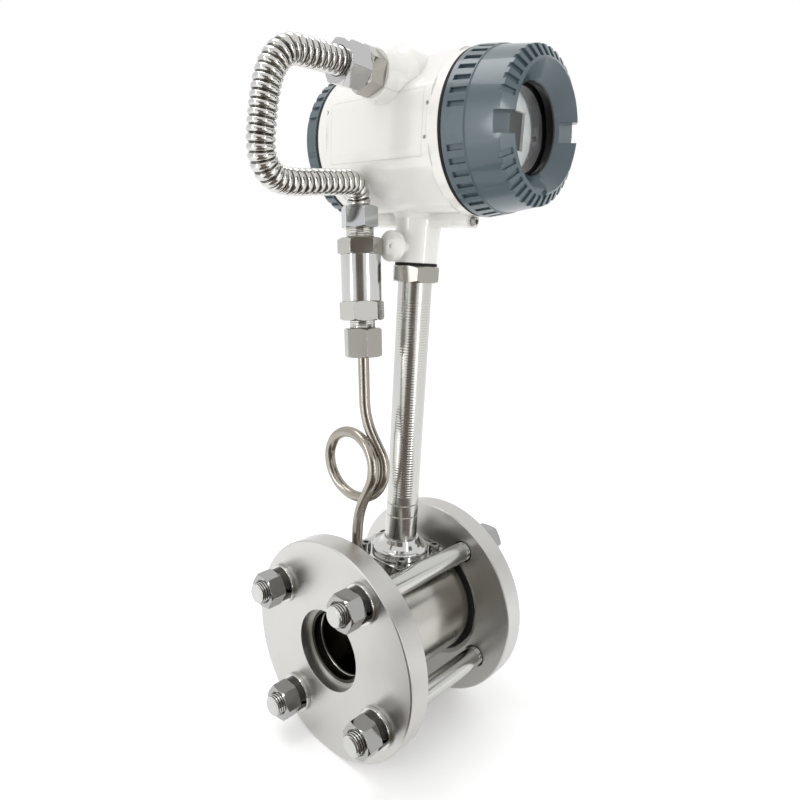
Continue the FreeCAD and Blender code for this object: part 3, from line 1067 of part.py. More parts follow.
def hose_route():
    """The hose's corners, from the conduit fitting on the head to the nut on the sensor."""
    head = Vector(0, size("sensor_place"), size("head_height"))
    mouth = Vector(size("boss_x"), -size("boss_face") - size("adapter_out") - size("hose_gap"),
                   size("boss_height"))
    points = [head + mouth, head + mouth - Y_AXIS * size("hose_lead")]
    points += [head + Vector(*corner) for corner in HOSE_CORNERS]
    end = size("cap_top") + size("hose_gap")
    points += [Vector(*lean_point(end + size("hose_drop"))), Vector(*lean_point(end))]
    return points


def make_siphon():
    """The pigtail siphon tube."""
    path, radii = rounded_path(siphon_route())
    piece = doc.addObject("Part::Feature", "siphon_tube")
    piece.Label = "siphon_tube"
    piece.Shape = round_pipe(path, size("siphon_od")).cut(round_pipe(path, size("siphon_bore")))
    print("siphon bend radii", [round(radius, 1) for radius in radii])
    return keep(piece)


def make_hose():
    """The flexible hose, as a plain round cord."""
    route = hose_route()
    path, radii = rounded_path(route)
    piece = doc.addObject("Part::Feature", "flexible_hose")
    piece.Label = "flexible_hose"
    piece.Shape = round_pipe(path, size("hose_od"))
    print("hose bend radii", [round(radius, 1) for radius in radii], "length", round(path.Length, 1))
    print("hose corners", [(round(p.x, 1), round(p.y, 1), round(p.z, 1)) for p in route])
    return keep(piece)


def leaning_body(label):
    """An empty body on the pressure sensor's leaning axis."""
    body = doc.addObject("PartDesign::Body", label)
    body.Label = label
    body.Placement = Placement(Vector(), Rotation(Y_AXIS, 1))
    body.setExpression("Placement.Base.x", s("press_x"))
    body.setExpression("Placement.Base.y", s("press_y"))
    body.setExpression("Placement.Base.z", s("press_low"))
    body.setExpression("Placement.Rotation.Angle", "-Size.press_lean")
    return body


def make_compression_joint():
    """The nut and the ferrule that hold the siphon's end in the sensor's port."""
    nut = leaning_body("compression_nut")
    hex_block(nut, "nut", s("comp_across"), "0", s("comp_high"), turn=28)
    tube, thread = "(Size.siphon_od / 2 + Size.siphon_play)", "(Size.port_thread / 2 + Size.nut_play)"
    turned(nut, "bore", "XZ_Plane", "V_Axis", [
        ("0", "0"), (tube, "0"), (tube, s("comp_cap")), (thread, s("comp_cap")), (thread, s("comp_high")),
        ("0", s("comp_high"))], kind="Groove")
    keep(nut)
    ferrule = leaning_body("siphon_ferrule")
    top = "(Size.comp_cap + Size.ferrule_high)"
    turned(ferrule, "ferrule", "XZ_Plane", "V_Axis", [
        (tube, s("comp_cap")), ("Size.ferrule_od / 2", s("comp_cap")), ("Size.ferrule_od / 2", s("port_low")),
        ("%s + 0.5" % tube, top), (tube, top)])
    keep(ferrule)


def make_pressure_sensor():
    """The pressure sensor: port, case, sensing cell, circuit board and threaded cap."""
    port = leaning_body("pressure_port")
    hex_block(port, "port", s("port_across"), s("port_hex_low"), PORT_TOP, turn=57)
    tube = "(Size.siphon_od / 2 + Size.siphon_play)"
    spigot = "(Size.case_od / 2 - Size.case_wall - Size.case_play)"
    turned(port, "nipple", "XZ_Plane", "V_Axis", [
        ("0", s("port_low")), ("Size.port_thread / 2 - 1", s("port_low")),
        ("Size.port_thread / 2", "Size.port_low + 1"),
        ("Size.port_thread / 2", "Size.port_hex_low + 1"), ("0", "Size.port_hex_low + 1")])
    turned(port, "spigot", "XZ_Plane", "V_Axis", rectangle(
        "0", spigot, "%s - 1" % PORT_TOP, "%s + Size.port_spigot" % PORT_TOP))
    cone = "(Size.ferrule_od / 2 + Size.siphon_play)"
    turned(port, "tube_socket", "XZ_Plane", "V_Axis", [
        ("0", s("port_low")), (cone, s("port_low")),
        ("%s + 0.6" % tube, "Size.comp_cap + Size.ferrule_high + 0.2"),
        (tube, "Size.comp_cap + Size.ferrule_high + 0.2"), (tube, "Size.port_low + Size.port_socket"),
        ("Size.port_hole / 2", "Size.port_low + Size.port_socket"),
        ("Size.port_hole / 2", "%s + Size.port_spigot" % PORT_TOP),
        ("0", "%s + Size.port_spigot" % PORT_TOP)], kind="Groove")
    keep(port)
    case = leaning_body("sensor_case")
    turned(case, "tube", "XZ_Plane", "V_Axis", rectangle(
        "Size.case_od / 2 - Size.case_wall", "Size.case_od / 2", PORT_TOP, CASE_TOP))
    keep(case)
    cell = leaning_body("pressure_cell")
    cell_low = "(%s + Size.port_spigot)" % PORT_TOP
    turned(cell, "capsule", "XZ_Plane", "V_Axis", [
        ("0", cell_low), ("Size.cell_od / 2", cell_low),
        ("Size.cell_od / 2", "%s + Size.cell_high * 0.6" % cell_low),
        ("Size.cell_od / 2 - 3", "%s + Size.cell_high * 0.6" % cell_low),
        ("Size.cell_od / 2 - 3", "%s + Size.cell_high" % cell_low),
        ("0", "%s + Size.cell_high" % cell_low)])
    keep(cell)
    board = leaning_body("sensor_board")
    board_low = "(%s + Size.cell_high)" % cell_low
    plate = new_sketch(board, "board_outline", "XZ_Plane")
    add_outline(plate, rectangle("-Size.press_board_wide / 2", "Size.press_board_wide / 2", board_low,
                                 "%s - Size.cap_spigot" % CASE_TOP))
    extrude(board, "Pad", "board", plate, s("press_board_thk"), both=True)
    keep(board)
    cap = leaning_body("sensor_cap")
    hex_block(cap, "cap", s("port_across"), CASE_TOP, CAP_HEX_TOP, turn=50)
    turned(cap, "spigot", "XZ_Plane", "V_Axis",
           rectangle("0", spigot, "%s - Size.cap_spigot" % CASE_TOP, "%s + 1" % CASE_TOP))
    turned(cap, "thread", "XZ_Plane", "V_Axis", [
        ("0", "%s - 1" % CAP_HEX_TOP), ("Size.cap_thread / 2", "%s - 1" % CAP_HEX_TOP),
        ("Size.cap_thread / 2", "Size.cap_top - 1"), ("Size.cap_thread / 2 - 1", s("cap_top")),
        ("0", s("cap_top"))])
    turned(cap, "wire_bore", "XZ_Plane", "V_Axis", rectangle(
        "0", "Size.cap_bore / 2", "%s - Size.cap_spigot" % CASE_TOP, s("cap_top")), kind="Groove")
    keep(cap)
    nut = leaning_body("hose_nut")
    hex_block(nut, "nut", s("hose_nut_across"), s("hose_nut_low"), s("hose_nut_top"), turn=30)
    thread, hose = "(Size.cap_thread / 2 + Size.nut_play)", "(Size.hose_od / 2 + Size.hose_play)"
    turned(nut, "bore", "XZ_Plane", "V_Axis", [
        ("0", s("hose_nut_low")), (thread, s("hose_nut_low")), (thread, "Size.cap_top + 0.5"),
        (hose, "Size.cap_top + 0.5"),
        (hose, s("hose_nut_top")), ("0", s("hose_nut_top"))], kind="Groove")
    keep(nut)


def conduit_body(label):
    """An empty body on the conduit boss's axis, with +Z pointing out of the boss."""
    body = doc.addObject("PartDesign::Body", label)
    body.Label = label
    body.Placement = Placement(Vector(), Rotation(X_AXIS, 90))
    body.setExpression("Placement.Base.x", s("boss_x"))
    body.setExpression("Placement.Base.y", "Size.sensor_place - Size.boss_face")
    body.setExpression("Placement.Base.z", "Size.head_height + Size.boss_height")
    return body


def make_conduit_fitting():
    """The adapter in the head's conduit boss and the cap nut that holds the hose."""
    adapter = conduit_body("conduit_adapter")
    thread = "(Size.conduit_thread / 2 - Size.thread_play)"
    hex_block(adapter, "adapter", s("adapter_across"), "0", s("adapter_hex_high"), turn=20)
    turned(adapter, "nipples", "XZ_Plane", "V_Axis", [
        ("0", "-Size.adapter_nipple"), ("%s - 1" % thread, "-Size.adapter_nipple"),
        (thread, "-Size.adapter_nipple + 1"),
        (thread, "Size.adapter_out - 1"), ("%s - 1" % thread, s("adapter_out")), ("0", s("adapter_out"))])
    turned(adapter, "wire_bore", "XZ_Plane", "V_Axis", rectangle(
        "0", "Size.adapter_bore / 2", "-Size.adapter_nipple", s("adapter_out")), kind="Groove")
    keep(adapter)
    nut = conduit_body("conduit_cap_nut")
    end = "(Size.adapter_hex_high + Size.cap_nut_long)"
    hex_block(nut, "nut", s("adapter_across"), s("adapter_hex_high"), end, turn=45)
    bore, hose = "(Size.conduit_thread / 2)", "(Size.hose_od / 2 + Size.hose_play)"
    turned(nut, "bore", "XZ_Plane", "V_Axis", [
        ("0", s("adapter_hex_high")), (bore, s("adapter_hex_high")), (bore, s("adapter_out")),
        (hose, s("adapter_out")),
        (hose, end), ("0", end)], kind="Groove")
    keep(nut)


def check_and_write():
    """Refuse a failed object or shape, then write each piece to its own file."""
    doc.recompute()
    for thing in doc.Objects:
        if "Invalid" in thing.State or "Error" in thing.State:
            raise ValueError("%s could not be computed: %s" % (thing.Label, thing.State))
    for piece in exported:
        if piece.Shape.isNull() or not piece.Shape.isValid():
            raise ValueError("%s has no valid shape" % piece.Label)
    os.makedirs("parts", exist_ok=True)
    for piece in exported:
        piece.Shape.exportStep("parts/%s.step" % piece.Label)
    print(len(exported), "pieces written")


write_sizes()
make_meter_body()
make_shedder_bar()
make_flange("inlet_flange", outlet=False)
make_flange("outlet_flange", outlet=True)
make_gasket("inlet_gasket", "Size.flange_thk - Size.recess_depth")
make_gasket("outlet_gasket", BODY_END)
make_studs()
make_flange_hardware()
make_sensor_probe()
make_sensor_seal()
make_sensor_plate()
make_plate_screws()
make_stem()
make_housing()
make_front_cover()
make_rear_cover()
make_cover_seals()
make_window()
make_electronics()
make_bezel()
make_keys()
make_terminals()
make_lock_screws()
make_siphon()
make_hose()
make_compression_joint()
make_pressure_sensor()
make_conduit_fitting()
check_and_write()
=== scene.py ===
import math

import bpy
from mathutils import Matrix, Vector


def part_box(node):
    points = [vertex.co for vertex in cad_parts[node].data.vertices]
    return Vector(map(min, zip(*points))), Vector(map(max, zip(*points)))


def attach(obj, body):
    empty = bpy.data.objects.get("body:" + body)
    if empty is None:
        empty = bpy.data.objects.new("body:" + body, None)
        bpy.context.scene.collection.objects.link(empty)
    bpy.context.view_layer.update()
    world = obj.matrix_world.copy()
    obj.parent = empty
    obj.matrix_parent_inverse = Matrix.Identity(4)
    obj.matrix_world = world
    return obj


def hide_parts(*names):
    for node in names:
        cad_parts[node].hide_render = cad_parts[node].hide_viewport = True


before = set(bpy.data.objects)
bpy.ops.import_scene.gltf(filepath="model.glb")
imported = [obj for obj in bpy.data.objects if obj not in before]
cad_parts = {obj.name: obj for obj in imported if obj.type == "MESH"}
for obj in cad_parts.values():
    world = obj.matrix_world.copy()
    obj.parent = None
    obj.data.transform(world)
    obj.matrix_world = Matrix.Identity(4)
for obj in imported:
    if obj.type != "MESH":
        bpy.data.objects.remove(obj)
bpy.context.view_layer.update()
MM = 0.001
ALONG_X, ALONG_Y, ALONG_Z = 0, 1, 2
scene = bpy.context.scene

# Camera, as solved from the flanges' circles in the photograph, with lengths in mm

AZIMUTH, PITCH, ROLL = math.radians(41.815), math.radians(12.629), math.radians(3.067)
CAMERA_PLACE = (296.645, -266.112, 280.721)
LENS, SENSOR_WIDTH = 27.35, 36.0
NEAREST_SEEN = 10


def make_camera():
    """The camera that the photograph was taken with."""
    camera = bpy.data.cameras.new("Camera")
    camera.lens = LENS
    camera.sensor_width = SENSOR_WIDTH
    camera.clip_start = NEAREST_SEEN * MM
    holder = bpy.data.objects.new("Camera", camera)
    scene.collection.objects.link(holder)
    level = Vector((math.cos(AZIMUTH), math.sin(AZIMUTH), 0))
    back = Vector((math.sin(AZIMUTH) * math.cos(PITCH), -math.cos(AZIMUTH) * math.cos(PITCH),
                   math.sin(PITCH)))
    rise = back.cross(level)
    right = level * math.cos(ROLL) + rise * math.sin(ROLL)
    up = rise * math.cos(ROLL) - level * math.sin(ROLL)
    turn = Matrix((right, up, back)).transposed().to_4x4()
    holder.matrix_world = Matrix.Translation(Vector(CAMERA_PLACE) * MM) @ turn
    scene.camera = holder


# Shader steps

NOISE_LOW, NOISE_HIGH = 0.3, 0.7
BEVEL_SAMPLES = 4


def shader_of(tree):
    """The principled shader in a material's node tree."""
    return tree.nodes["Principled BSDF"]


def new_material(name, color, rough, metallic=0.0, coat=0.0, ior=1.5):
    """A principled material, smooth and of one colour."""
    material = bpy.data.materials.new(name)
    material.use_nodes = True
    shader = shader_of(material.node_tree)
    shader.inputs["Base Color"].default_value = (*color, 1)
    shader.inputs["Roughness"].default_value = rough
    shader.inputs["Metallic"].default_value = metallic
    shader.inputs["Coat Weight"].default_value = coat
    shader.inputs["IOR"].default_value = ior
    return material


def mapped(tree, scale=(1, 1, 1), turn=(0, 0, 0)):
    """Object coordinates, in metres, with a scale and a turn."""
    coords = tree.nodes.new("ShaderNodeTexCoord")
    mapping = tree.nodes.new("ShaderNodeMapping")
    mapping.inputs["Scale"].default_value = scale
    mapping.inputs["Rotation"].default_value = turn
    tree.links.new(coords.outputs["Object"], mapping.inputs["Vector"])
    return mapping.outputs["Vector"]


def axes_of(tree, vector):
    """The three coordinates of a vector."""
    split = tree.nodes.new("ShaderNodeSeparateXYZ")
    tree.links.new(vector, split.inputs["Vector"])
    return split.outputs


def noise(tree, vector, scale, detail):
    """A noise texture's value."""
    texture = tree.nodes.new("ShaderNodeTexNoise")
    texture.inputs["Scale"].default_value = scale
    texture.inputs["Detail"].default_value = detail
    tree.links.new(vector, texture.inputs["Vector"])
    return texture.outputs["Fac"]


def spread(tree, value, low, high):
    """A noise texture's value brought into another range."""
    node = tree.nodes.new("ShaderNodeMapRange")
    node.inputs["From Min"].default_value = NOISE_LOW
    node.inputs["From Max"].default_value = NOISE_HIGH
    node.inputs["To Min"].default_value = low
    node.inputs["To Max"].default_value = high
    tree.links.new(value, node.inputs["Value"])
    return node.outputs["Result"]


def reckon(tree, operation, first, second=None):
    """One sum on values or node outputs."""
    node = tree.nodes.new("ShaderNodeMath")
    node.operation = operation
    for socket, value in zip(node.inputs, (first, second)):
        if isinstance(value, (int, float)):
            socket.default_value = value
        elif value is not None:
            tree.links.new(value, socket)
    return node.outputs["Value"]


def both_under(tree, first, first_limit, second, second_limit):
    """One where two values are both under their limits, and zero elsewhere."""
    return reckon(tree, "MULTIPLY", reckon(tree, "LESS_THAN", first, first_limit),
                  reckon(tree, "LESS_THAN", second, second_limit))


def bumped(tree, height, strength, distance):
    """Relief from a height value, laid over any relief that the shader already has."""
    shader = shader_of(tree)
    bump = tree.nodes.new("ShaderNodeBump")
    bump.inputs["Strength"].default_value = strength
    bump.inputs["Distance"].default_value = distance
    tree.links.new(height, bump.inputs["Height"])
    before = shader.inputs["Normal"].links
    if before:
        tree.links.new(before[0].from_socket, bump.inputs["Normal"])
    tree.links.new(bump.outputs["Normal"], shader.inputs["Normal"])


def soft_edges(tree, radius):
    """Slightly rounded edges in the shading."""
    bevel = tree.nodes.new("ShaderNodeBevel")
    bevel.samples = BEVEL_SAMPLES
    bevel.inputs["Radius"].default_value = radius * MM
    tree.links.new(bevel.outputs["Normal"], shader_of(tree).inputs["Normal"])


def painted(tree, mask, color):
    """Another colour where the mask is one."""
    shader = shader_of(tree)
    mix = tree.nodes.new("ShaderNodeMixRGB")
    mix.inputs["Color1"].default_value = shader.inputs["Base Color"].default_value
    mix.inputs["Color2"].default_value = (*color, 1)
    tree.links.new(mask, mix.inputs["Fac"])
    tree.links.new(mix.outputs["Color"], shader.inputs["Base Color"])


# Steel, with lengths in mm

PLAIN_GRAIN, FACED_ALONG_X = (1, 1, 1), (6, 0.4, 0.4)
TURNED_ALONG_Y, TURNED_ALONG_Z = (0.6, 12, 0.6), (0.3, 0.3, 14)
STEEL_DETAIL, GRAIN_STRENGTH, PATCH_SCALE, LEAST_ROUGH = 3, 0.35, 35, 0.03

# Each steel has a colour and a roughness. Where it isn't plain it also has the radius of its edges, the
# direction, scale and height of its grain, or how far its roughness varies.
STEELS = {
    "turned_steel": dict(color=(0.48, 0.465, 0.43), rough=0.20, grain=TURNED_ALONG_Y, grain_scale=300),
    "flange_steel": dict(color=(0.565, 0.555, 0.535), rough=0.33, vary=0.05),
    "bright_steel": dict(color=(0.56, 0.555, 0.53), rough=0.12, edge=0.5),
    "mirror_steel": dict(color=(0.58, 0.58, 0.565), rough=0.08, edge=0.5, grain_height=0.01, vary=0.03),
    "stem_steel": dict(color=(0.55, 0.545, 0.52), rough=0.19, grain=TURNED_ALONG_Z, grain_scale=300),
    "siphon_steel": dict(color=(0.35, 0.325, 0.285), rough=0.20, grain_scale=500),
    "stud_steel": dict(color=(0.55, 0.55, 0.53), rough=0.20),
    "satin_steel": dict(color=(0.47, 0.455, 0.425), rough=0.30),
    "worn_steel": dict(color=(0.36, 0.345, 0.315), rough=0.22),
    "case_steel": dict(color=(0.58, 0.58, 0.565), rough=0.15, grain=TURNED_ALONG_Z, grain_scale=300),
    "dark_steel": dict(color=(0.28, 0.275, 0.26), rough=0.24),
    "nut_steel": dict(color=(0.37, 0.37, 0.36), rough=0.10, edge=0.5, vary=0.03),
    "blackened_steel": dict(color=(0.09, 0.088, 0.082), rough=0.30),
    "adapter_steel": dict(color=(0.43, 0.415, 0.385), rough=0.10, edge=0.5),
    "cap_nut_steel": dict(color=(0.51, 0.51, 0.51), rough=0.07, edge=0.5, vary=0.03),
    "zinc_steel": dict(color=(0.51, 0.53, 0.54), rough=0.08),
    "port_steel": dict(color=(0.55, 0.545, 0.52), rough=0.14, edge=0.5),
    "cap_steel": dict(color=(0.50, 0.49, 0.46), rough=0.15, edge=0.5),
    "hose_steel": dict(color=(0.60, 0.59, 0.565), rough=0.10, edge=0.2, grain_height=0.01),
    # Painted shade for the hose's valleys, where its rings shade each other.
    "valley_shade_steel": dict(color=(0.13, 0.12, 0.105), rough=0.3),
    "ring_steel": dict(color=(0.24, 0.24, 0.24), rough=0.36, grain=FACED_ALONG_X, grain_scale=500,
                       grain_height=0.3),
}


def steel(name, color, rough, grain=PLAIN_GRAIN, grain_scale=900, grain_height=0.02, edge=0.4, vary=0.06):
    """Bare steel in slightly uneven patches, with a fine grain stretched along the small entries of grain."""
    material = new_material(name, color, rough, metallic=1.0)
    tree = material.node_tree
    soft_edges(tree, edge)
    fine = noise(tree, mapped(tree, scale=grain), grain_scale, STEEL_DETAIL)
    bumped(tree, fine, GRAIN_STRENGTH, grain_height * MM)
    patches = noise(tree, mapped(tree), PATCH_SCALE, STEEL_DETAIL)
    uneven = spread(tree, patches, max(rough - vary, LEAST_ROUGH), rough + vary)
    tree.links.new(uneven, shader_of(tree).inputs["Roughness"])
    return material


# Enamel, with lengths in mm

COVER_ENAMEL = dict(color=(0.044, 0.072, 0.087), rough=0.32, peel=0.32, coat=0.5)
ENAMELS = {
    "white_enamel": dict(color=(0.68, 0.67, 0.635), rough=0.30, peel=0.04, coat=0.8),
    "rear_enamel": COVER_ENAMEL,
    "grey_enamel": COVER_ENAMEL,
}
COAT_ROUGH, ENAMEL_EDGE, ENAMEL_DETAIL = 0.06, 0.9, 2
FINE_PEEL_SCALE, FINE_PEEL_HEIGHT = 420, 0.2
BROAD_PEEL_SCALE, BROAD_PEEL_HEIGHT, BROAD_PEEL_SHARE = 60, 0.4, 0.5


def enamel(name, color, rough, peel, coat):
    """Sprayed enamel with a slightly uneven skin."""
    material = new_material(name, color, rough, coat=coat)
    tree = material.node_tree
    shader_of(tree).inputs["Coat Roughness"].default_value = COAT_ROUGH
    soft_edges(tree, ENAMEL_EDGE)
    vector = mapped(tree)
    fine = noise(tree, vector, FINE_PEEL_SCALE, ENAMEL_DETAIL)
    bumped(tree, fine, peel, FINE_PEEL_HEIGHT * MM)
    broad = noise(tree, vector, BROAD_PEEL_SCALE, ENAMEL_DETAIL)
    bumped(tree, broad, peel * BROAD_PEEL_SHARE, BROAD_PEEL_HEIGHT * MM)
    return material


# Rubber, plastic and glass

SMOOTH_ONES = {
    "black_rubber": dict(color=(0.006, 0.006, 0.006), rough=0.85),
    "circuit_board": dict(color=(0.02, 0.10, 0.04), rough=0.35),
    "dark_plastic": dict(color=(0.03, 0.035, 0.04), rough=0.5),
    "pale_plastic": dict(color=(0.90, 0.91, 0.90), rough=0.5),
    "lcd_glass": dict(color=(0.03, 0.032, 0.03), rough=0.6),
    "terminal_green": dict(color=(0.03, 0.16, 0.06), rough=0.4),
}


def glass(name):
    """Clear window glass."""
    material = new_material(name, color=(0.98, 1, 1), rough=0.0, ior=1.25)
    shader_of(material.node_tree).inputs["Transmission Weight"].default_value = 1.0
    return material


# Forms that are colour or relief in a material, with lengths in mm. HEAD is the middle of the housing.

HEAD = (0.0, 75.0, 363.8)
FLOW_AXIS_POINT = (0, 0, 0)
SENSOR_LEAN = (0, math.radians(5.4), 0)
PANEL_HALF_LONG, PANEL_HALF_HIGH = 41, 19.5
# The panel's line colour is painted shade along its edge.
PANEL_LINE, PANEL_SHADE_LINE_COLOR, PANEL_STRENGTH = 0.6, (0.57, 0.56, 0.53), 0.6
STEM_LINES = (98, 88.3)
RING_HEIGHT_SHARE = 0.9
WHOLE_LENGTH = 1000


def ridges(material, axis, pitch, middle, far, near=0, turn=(0, 0, 0), strength=1.0):
    """Ring grooves along an axis, where the distance from a middle is between a near and a far limit."""
    tree = material.node_tree
    place = reckon(tree, "SUBTRACT", axes_of(tree, mapped(tree, turn=turn))[axis], middle * MM)
    away = reckon(tree, "ABSOLUTE", place)
    inside = reckon(tree, "MULTIPLY", reckon(tree, "GREATER_THAN", away, near * MM),
                    reckon(tree, "LESS_THAN", away, far * MM))
    wave = reckon(tree, "PINGPONG", place, pitch * MM / 2)
    bumped(tree, reckon(tree, "MULTIPLY", wave, inside), strength, RING_HEIGHT_SHARE)


def dark_bore(material, axis, centre, radius, color):
    """Another colour inside a given distance from an axis that is parallel to X or Y."""
    tree = material.node_tree
    axes = axes_of(tree, mapped(tree))
    aside = ALONG_Y if axis == ALONG_X else ALONG_X
    across = reckon(tree, "SUBTRACT", axes[aside], centre[aside] * MM)
    up = reckon(tree, "SUBTRACT", axes[ALONG_Z], centre[ALONG_Z] * MM)
    square = reckon(tree, "ADD", reckon(tree, "MULTIPLY", across, across), reckon(tree, "MULTIPLY", up, up))
    painted(tree, reckon(tree, "LESS_THAN", square, (radius * MM) ** 2), color)


def panel_edges(material):
    """The low step around the flat panel on each side of the head, with a thin line of painted shade along
    it.
    """
    tree = material.node_tree
    axes = axes_of(tree, mapped(tree))
    along = reckon(tree, "ABSOLUTE", reckon(tree, "SUBTRACT", axes[ALONG_X], HEAD[ALONG_X] * MM))
    up = reckon(tree, "ABSOLUTE", reckon(tree, "SUBTRACT", axes[ALONG_Z], HEAD[ALONG_Z] * MM))
    inside = both_under(tree, along, PANEL_HALF_LONG * MM, up, PANEL_HALF_HIGH * MM)
    bumped(tree, inside, PANEL_STRENGTH, PANEL_LINE * MM)
    # Painted shade: a thin darker line just inside the panel's edge.
    core = both_under(tree, along, (PANEL_HALF_LONG - PANEL_LINE) * MM,
                      up, (PANEL_HALF_HIGH - PANEL_LINE) * MM)
    painted(tree, reckon(tree, "SUBTRACT", inside, core), PANEL_SHADE_LINE_COLOR)


def carve_rings(made):
    """The threads and scribed rings."""
    ridges(made["stem_steel"], ALONG_Z, pitch=2, middle=180, far=75.5, strength=0.125)
    for height in STEM_LINES:
        ridges(made["stem_steel"], ALONG_Z, pitch=0.9, middle=height, far=0.5)
    ridges(made["stud_steel"], ALONG_Y, pitch=2, middle=66.5, far=WHOLE_LENGTH, near=45.5)
    ridges(made["port_steel"], ALONG_Z, pitch=1.5, middle=235.2, far=5.2, turn=SENSOR_LEAN, strength=0.4)
    ridges(made["cap_steel"], ALONG_Z, pitch=1.5, middle=299.7, far=3.3, turn=SENSOR_LEAN, strength=0.5)
    ridges(made["cap_steel"], ALONG_Z, pitch=1.1, middle=290.8, far=5.4, turn=SENSOR_LEAN, strength=0.03)


# Which node has which material

WEARERS = {
    "white_enamel": ("housing",),
    "grey_enamel": ("front_cover",),
    "rear_enamel": ("rear_cover",),
    "turned_steel": ("meter_body",),
    "flange_steel": ("inlet_flange", "outlet_flange"),
    "stem_steel": ("stem_tube",),
    "worn_steel": ("stem_lock_nut", "compression_nut"),
    "mirror_steel": ("sensor_plate", "flat_washers"),
    "dark_steel": ("plate_screws",),
    "nut_steel": ("flange_nuts",),
    "blackened_steel": ("spring_washers",),
    "stud_steel": ("stud_bolts",),
    "siphon_steel": ("siphon_tube",),
    "port_steel": ("pressure_port",),
    "case_steel": ("sensor_case",),
    "cap_steel": ("sensor_cap",),
    "zinc_steel": ("hose_nut",),
    "adapter_steel": ("conduit_adapter",),
    "cap_nut_steel": ("conduit_cap_nut",),
    "hose_steel": ("flexible_hose",),
    "ring_steel": ("glass_ring",),
    "satin_steel": ("cover_lock_screws", "shedder_bar", "sensor_probe", "siphon_ferrule", "pressure_cell"),
    "bright_steel": ("module_screws", "terminal_screws", "terminal_mount_screws"),
    "black_rubber": ("inlet_gasket", "outlet_gasket", "sensor_seal", "neck_gasket", "front_cover_seal",
                     "rear_cover_seal", "glass_seal"),
    "window_glass": ("window_glass",),
    "pale_plastic": ("display_bezel", "key_left", "key_middle", "key_right"),
    "lcd_glass": ("lcd_panel",),
    "circuit_board": ("display_board", "sensor_board"),
    "dark_plastic": ("electronics_module",),
    "terminal_green": ("terminal_block",),
}


def make_materials():
    """Every material of the meter, by its name."""
    made = {name: steel(name, **look) for name, look in STEELS.items()}
    made.update({name: enamel(name, **look) for name, look in ENAMELS.items()})
    made.update({name: new_material(name, **look) for name, look in SMOOTH_ONES.items()})
    made["window_glass"] = glass("window_glass")
    panel_edges(made["white_enamel"])
    dark_bore(made["grey_enamel"], ALONG_X, HEAD, radius=26.6, color=(0.006, 0.006, 0.006))
    # Painted shade deep in the meter body's bore and the flanges' pipe sockets.
    dark_bore(made["turned_steel"], ALONG_Y, FLOW_AXIS_POINT, radius=25.6, color=(0.07, 0.062, 0.052))
    dark_bore(made["flange_steel"], ALONG_Y, FLOW_AXIS_POINT, radius=28.3, color=(0.08, 0.072, 0.06))
    carve_rings(made)
    return made


def dress(made):
    """Give each node its material."""
    material_of = {node: made[name] for name, wearers in WEARERS.items() for node in wearers}
    for name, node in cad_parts.items():
        node.data.materials.clear()
        node.data.materials.append(material_of[name])


# The corrugated hose, in mm

HOSE_ROUTE = [
    (7.0, -5.7, 392.5), (7.0, -17.7, 392.5), (6.8, -32.5, 391.2), (6.2, -48.1, 390.2),
    (5.2, -57.6, 377.8), (3.4, -60.4, 357.9), (0.8, -60.3, 334.0), (-1.2, -50.1, 323.6),
    (-3.2, -34.5, 323.5), (-6.0, -13.5, 326.7), (-9.5, 6.7, 329.2), (-12.8, 22.8, 332.2),
    (-18.6, 33.5, 323.9), (-17.3, 33.5, 310.1),
]
CURVE_ORDER, CURVE_RESOLUTION = 3, 24
HOSE_RADIUS, RING_DEPTH = 8.0, 2.2
UPPER_PITCH, LOWER_PITCH, LOWER_RUN_START = 4.1, 5.6, 122.0
# How much of each ring, on either side of its valley, gets painted shade.
SHADED_VALLEY_SHARE = 0.12
HOSE_FACES_AROUND, HOSE_STEP = 40, 0.32
SHORTEST = 1e-9


def spline_points(name, points):
    """The points of a smooth curve that has the given points as its control points."""
    curve = bpy.data.curves.new(name, "CURVE")
    curve.dimensions = "3D"
    curve.resolution_u = CURVE_RESOLUTION
    spline = curve.splines.new("NURBS")
    spline.points.add(len(points) - 1)
    for point, place in zip(spline.points, points):
        point.co = (*(Vector(place) * MM), 1)
    spline.order_u = CURVE_ORDER
    spline.use_endpoint_u = True
    holder = bpy.data.objects.new(name, curve)
    scene.collection.objects.link(holder)
    mesh = bpy.data.meshes.new_from_object(holder)
    line = [vertex.co.copy() for vertex in mesh.vertices]
    bpy.data.objects.remove(holder)
    bpy.data.meshes.remove(mesh)
    bpy.data.curves.remove(curve)
    return line


def even_steps(line, step):
    """The same line in nearly equal steps, with its total length."""
    lengths = [0.0]
    for a, b in zip(line, line[1:]):
        lengths.append(lengths[-1] + (b - a).length)
    total = lengths[-1]
    count = round(total / step)
    found, at = [], 0
    for i in range(count + 1):
        want = total * i / count
        while at < len(lengths) - 2 and lengths[at + 1] < want:
            at += 1
        share = (want - lengths[at]) / max(lengths[at + 1] - lengths[at], SHORTEST)
        found.append(line[at].lerp(line[at + 1], min(max(share, 0.0), 1.0)))
    return found, total


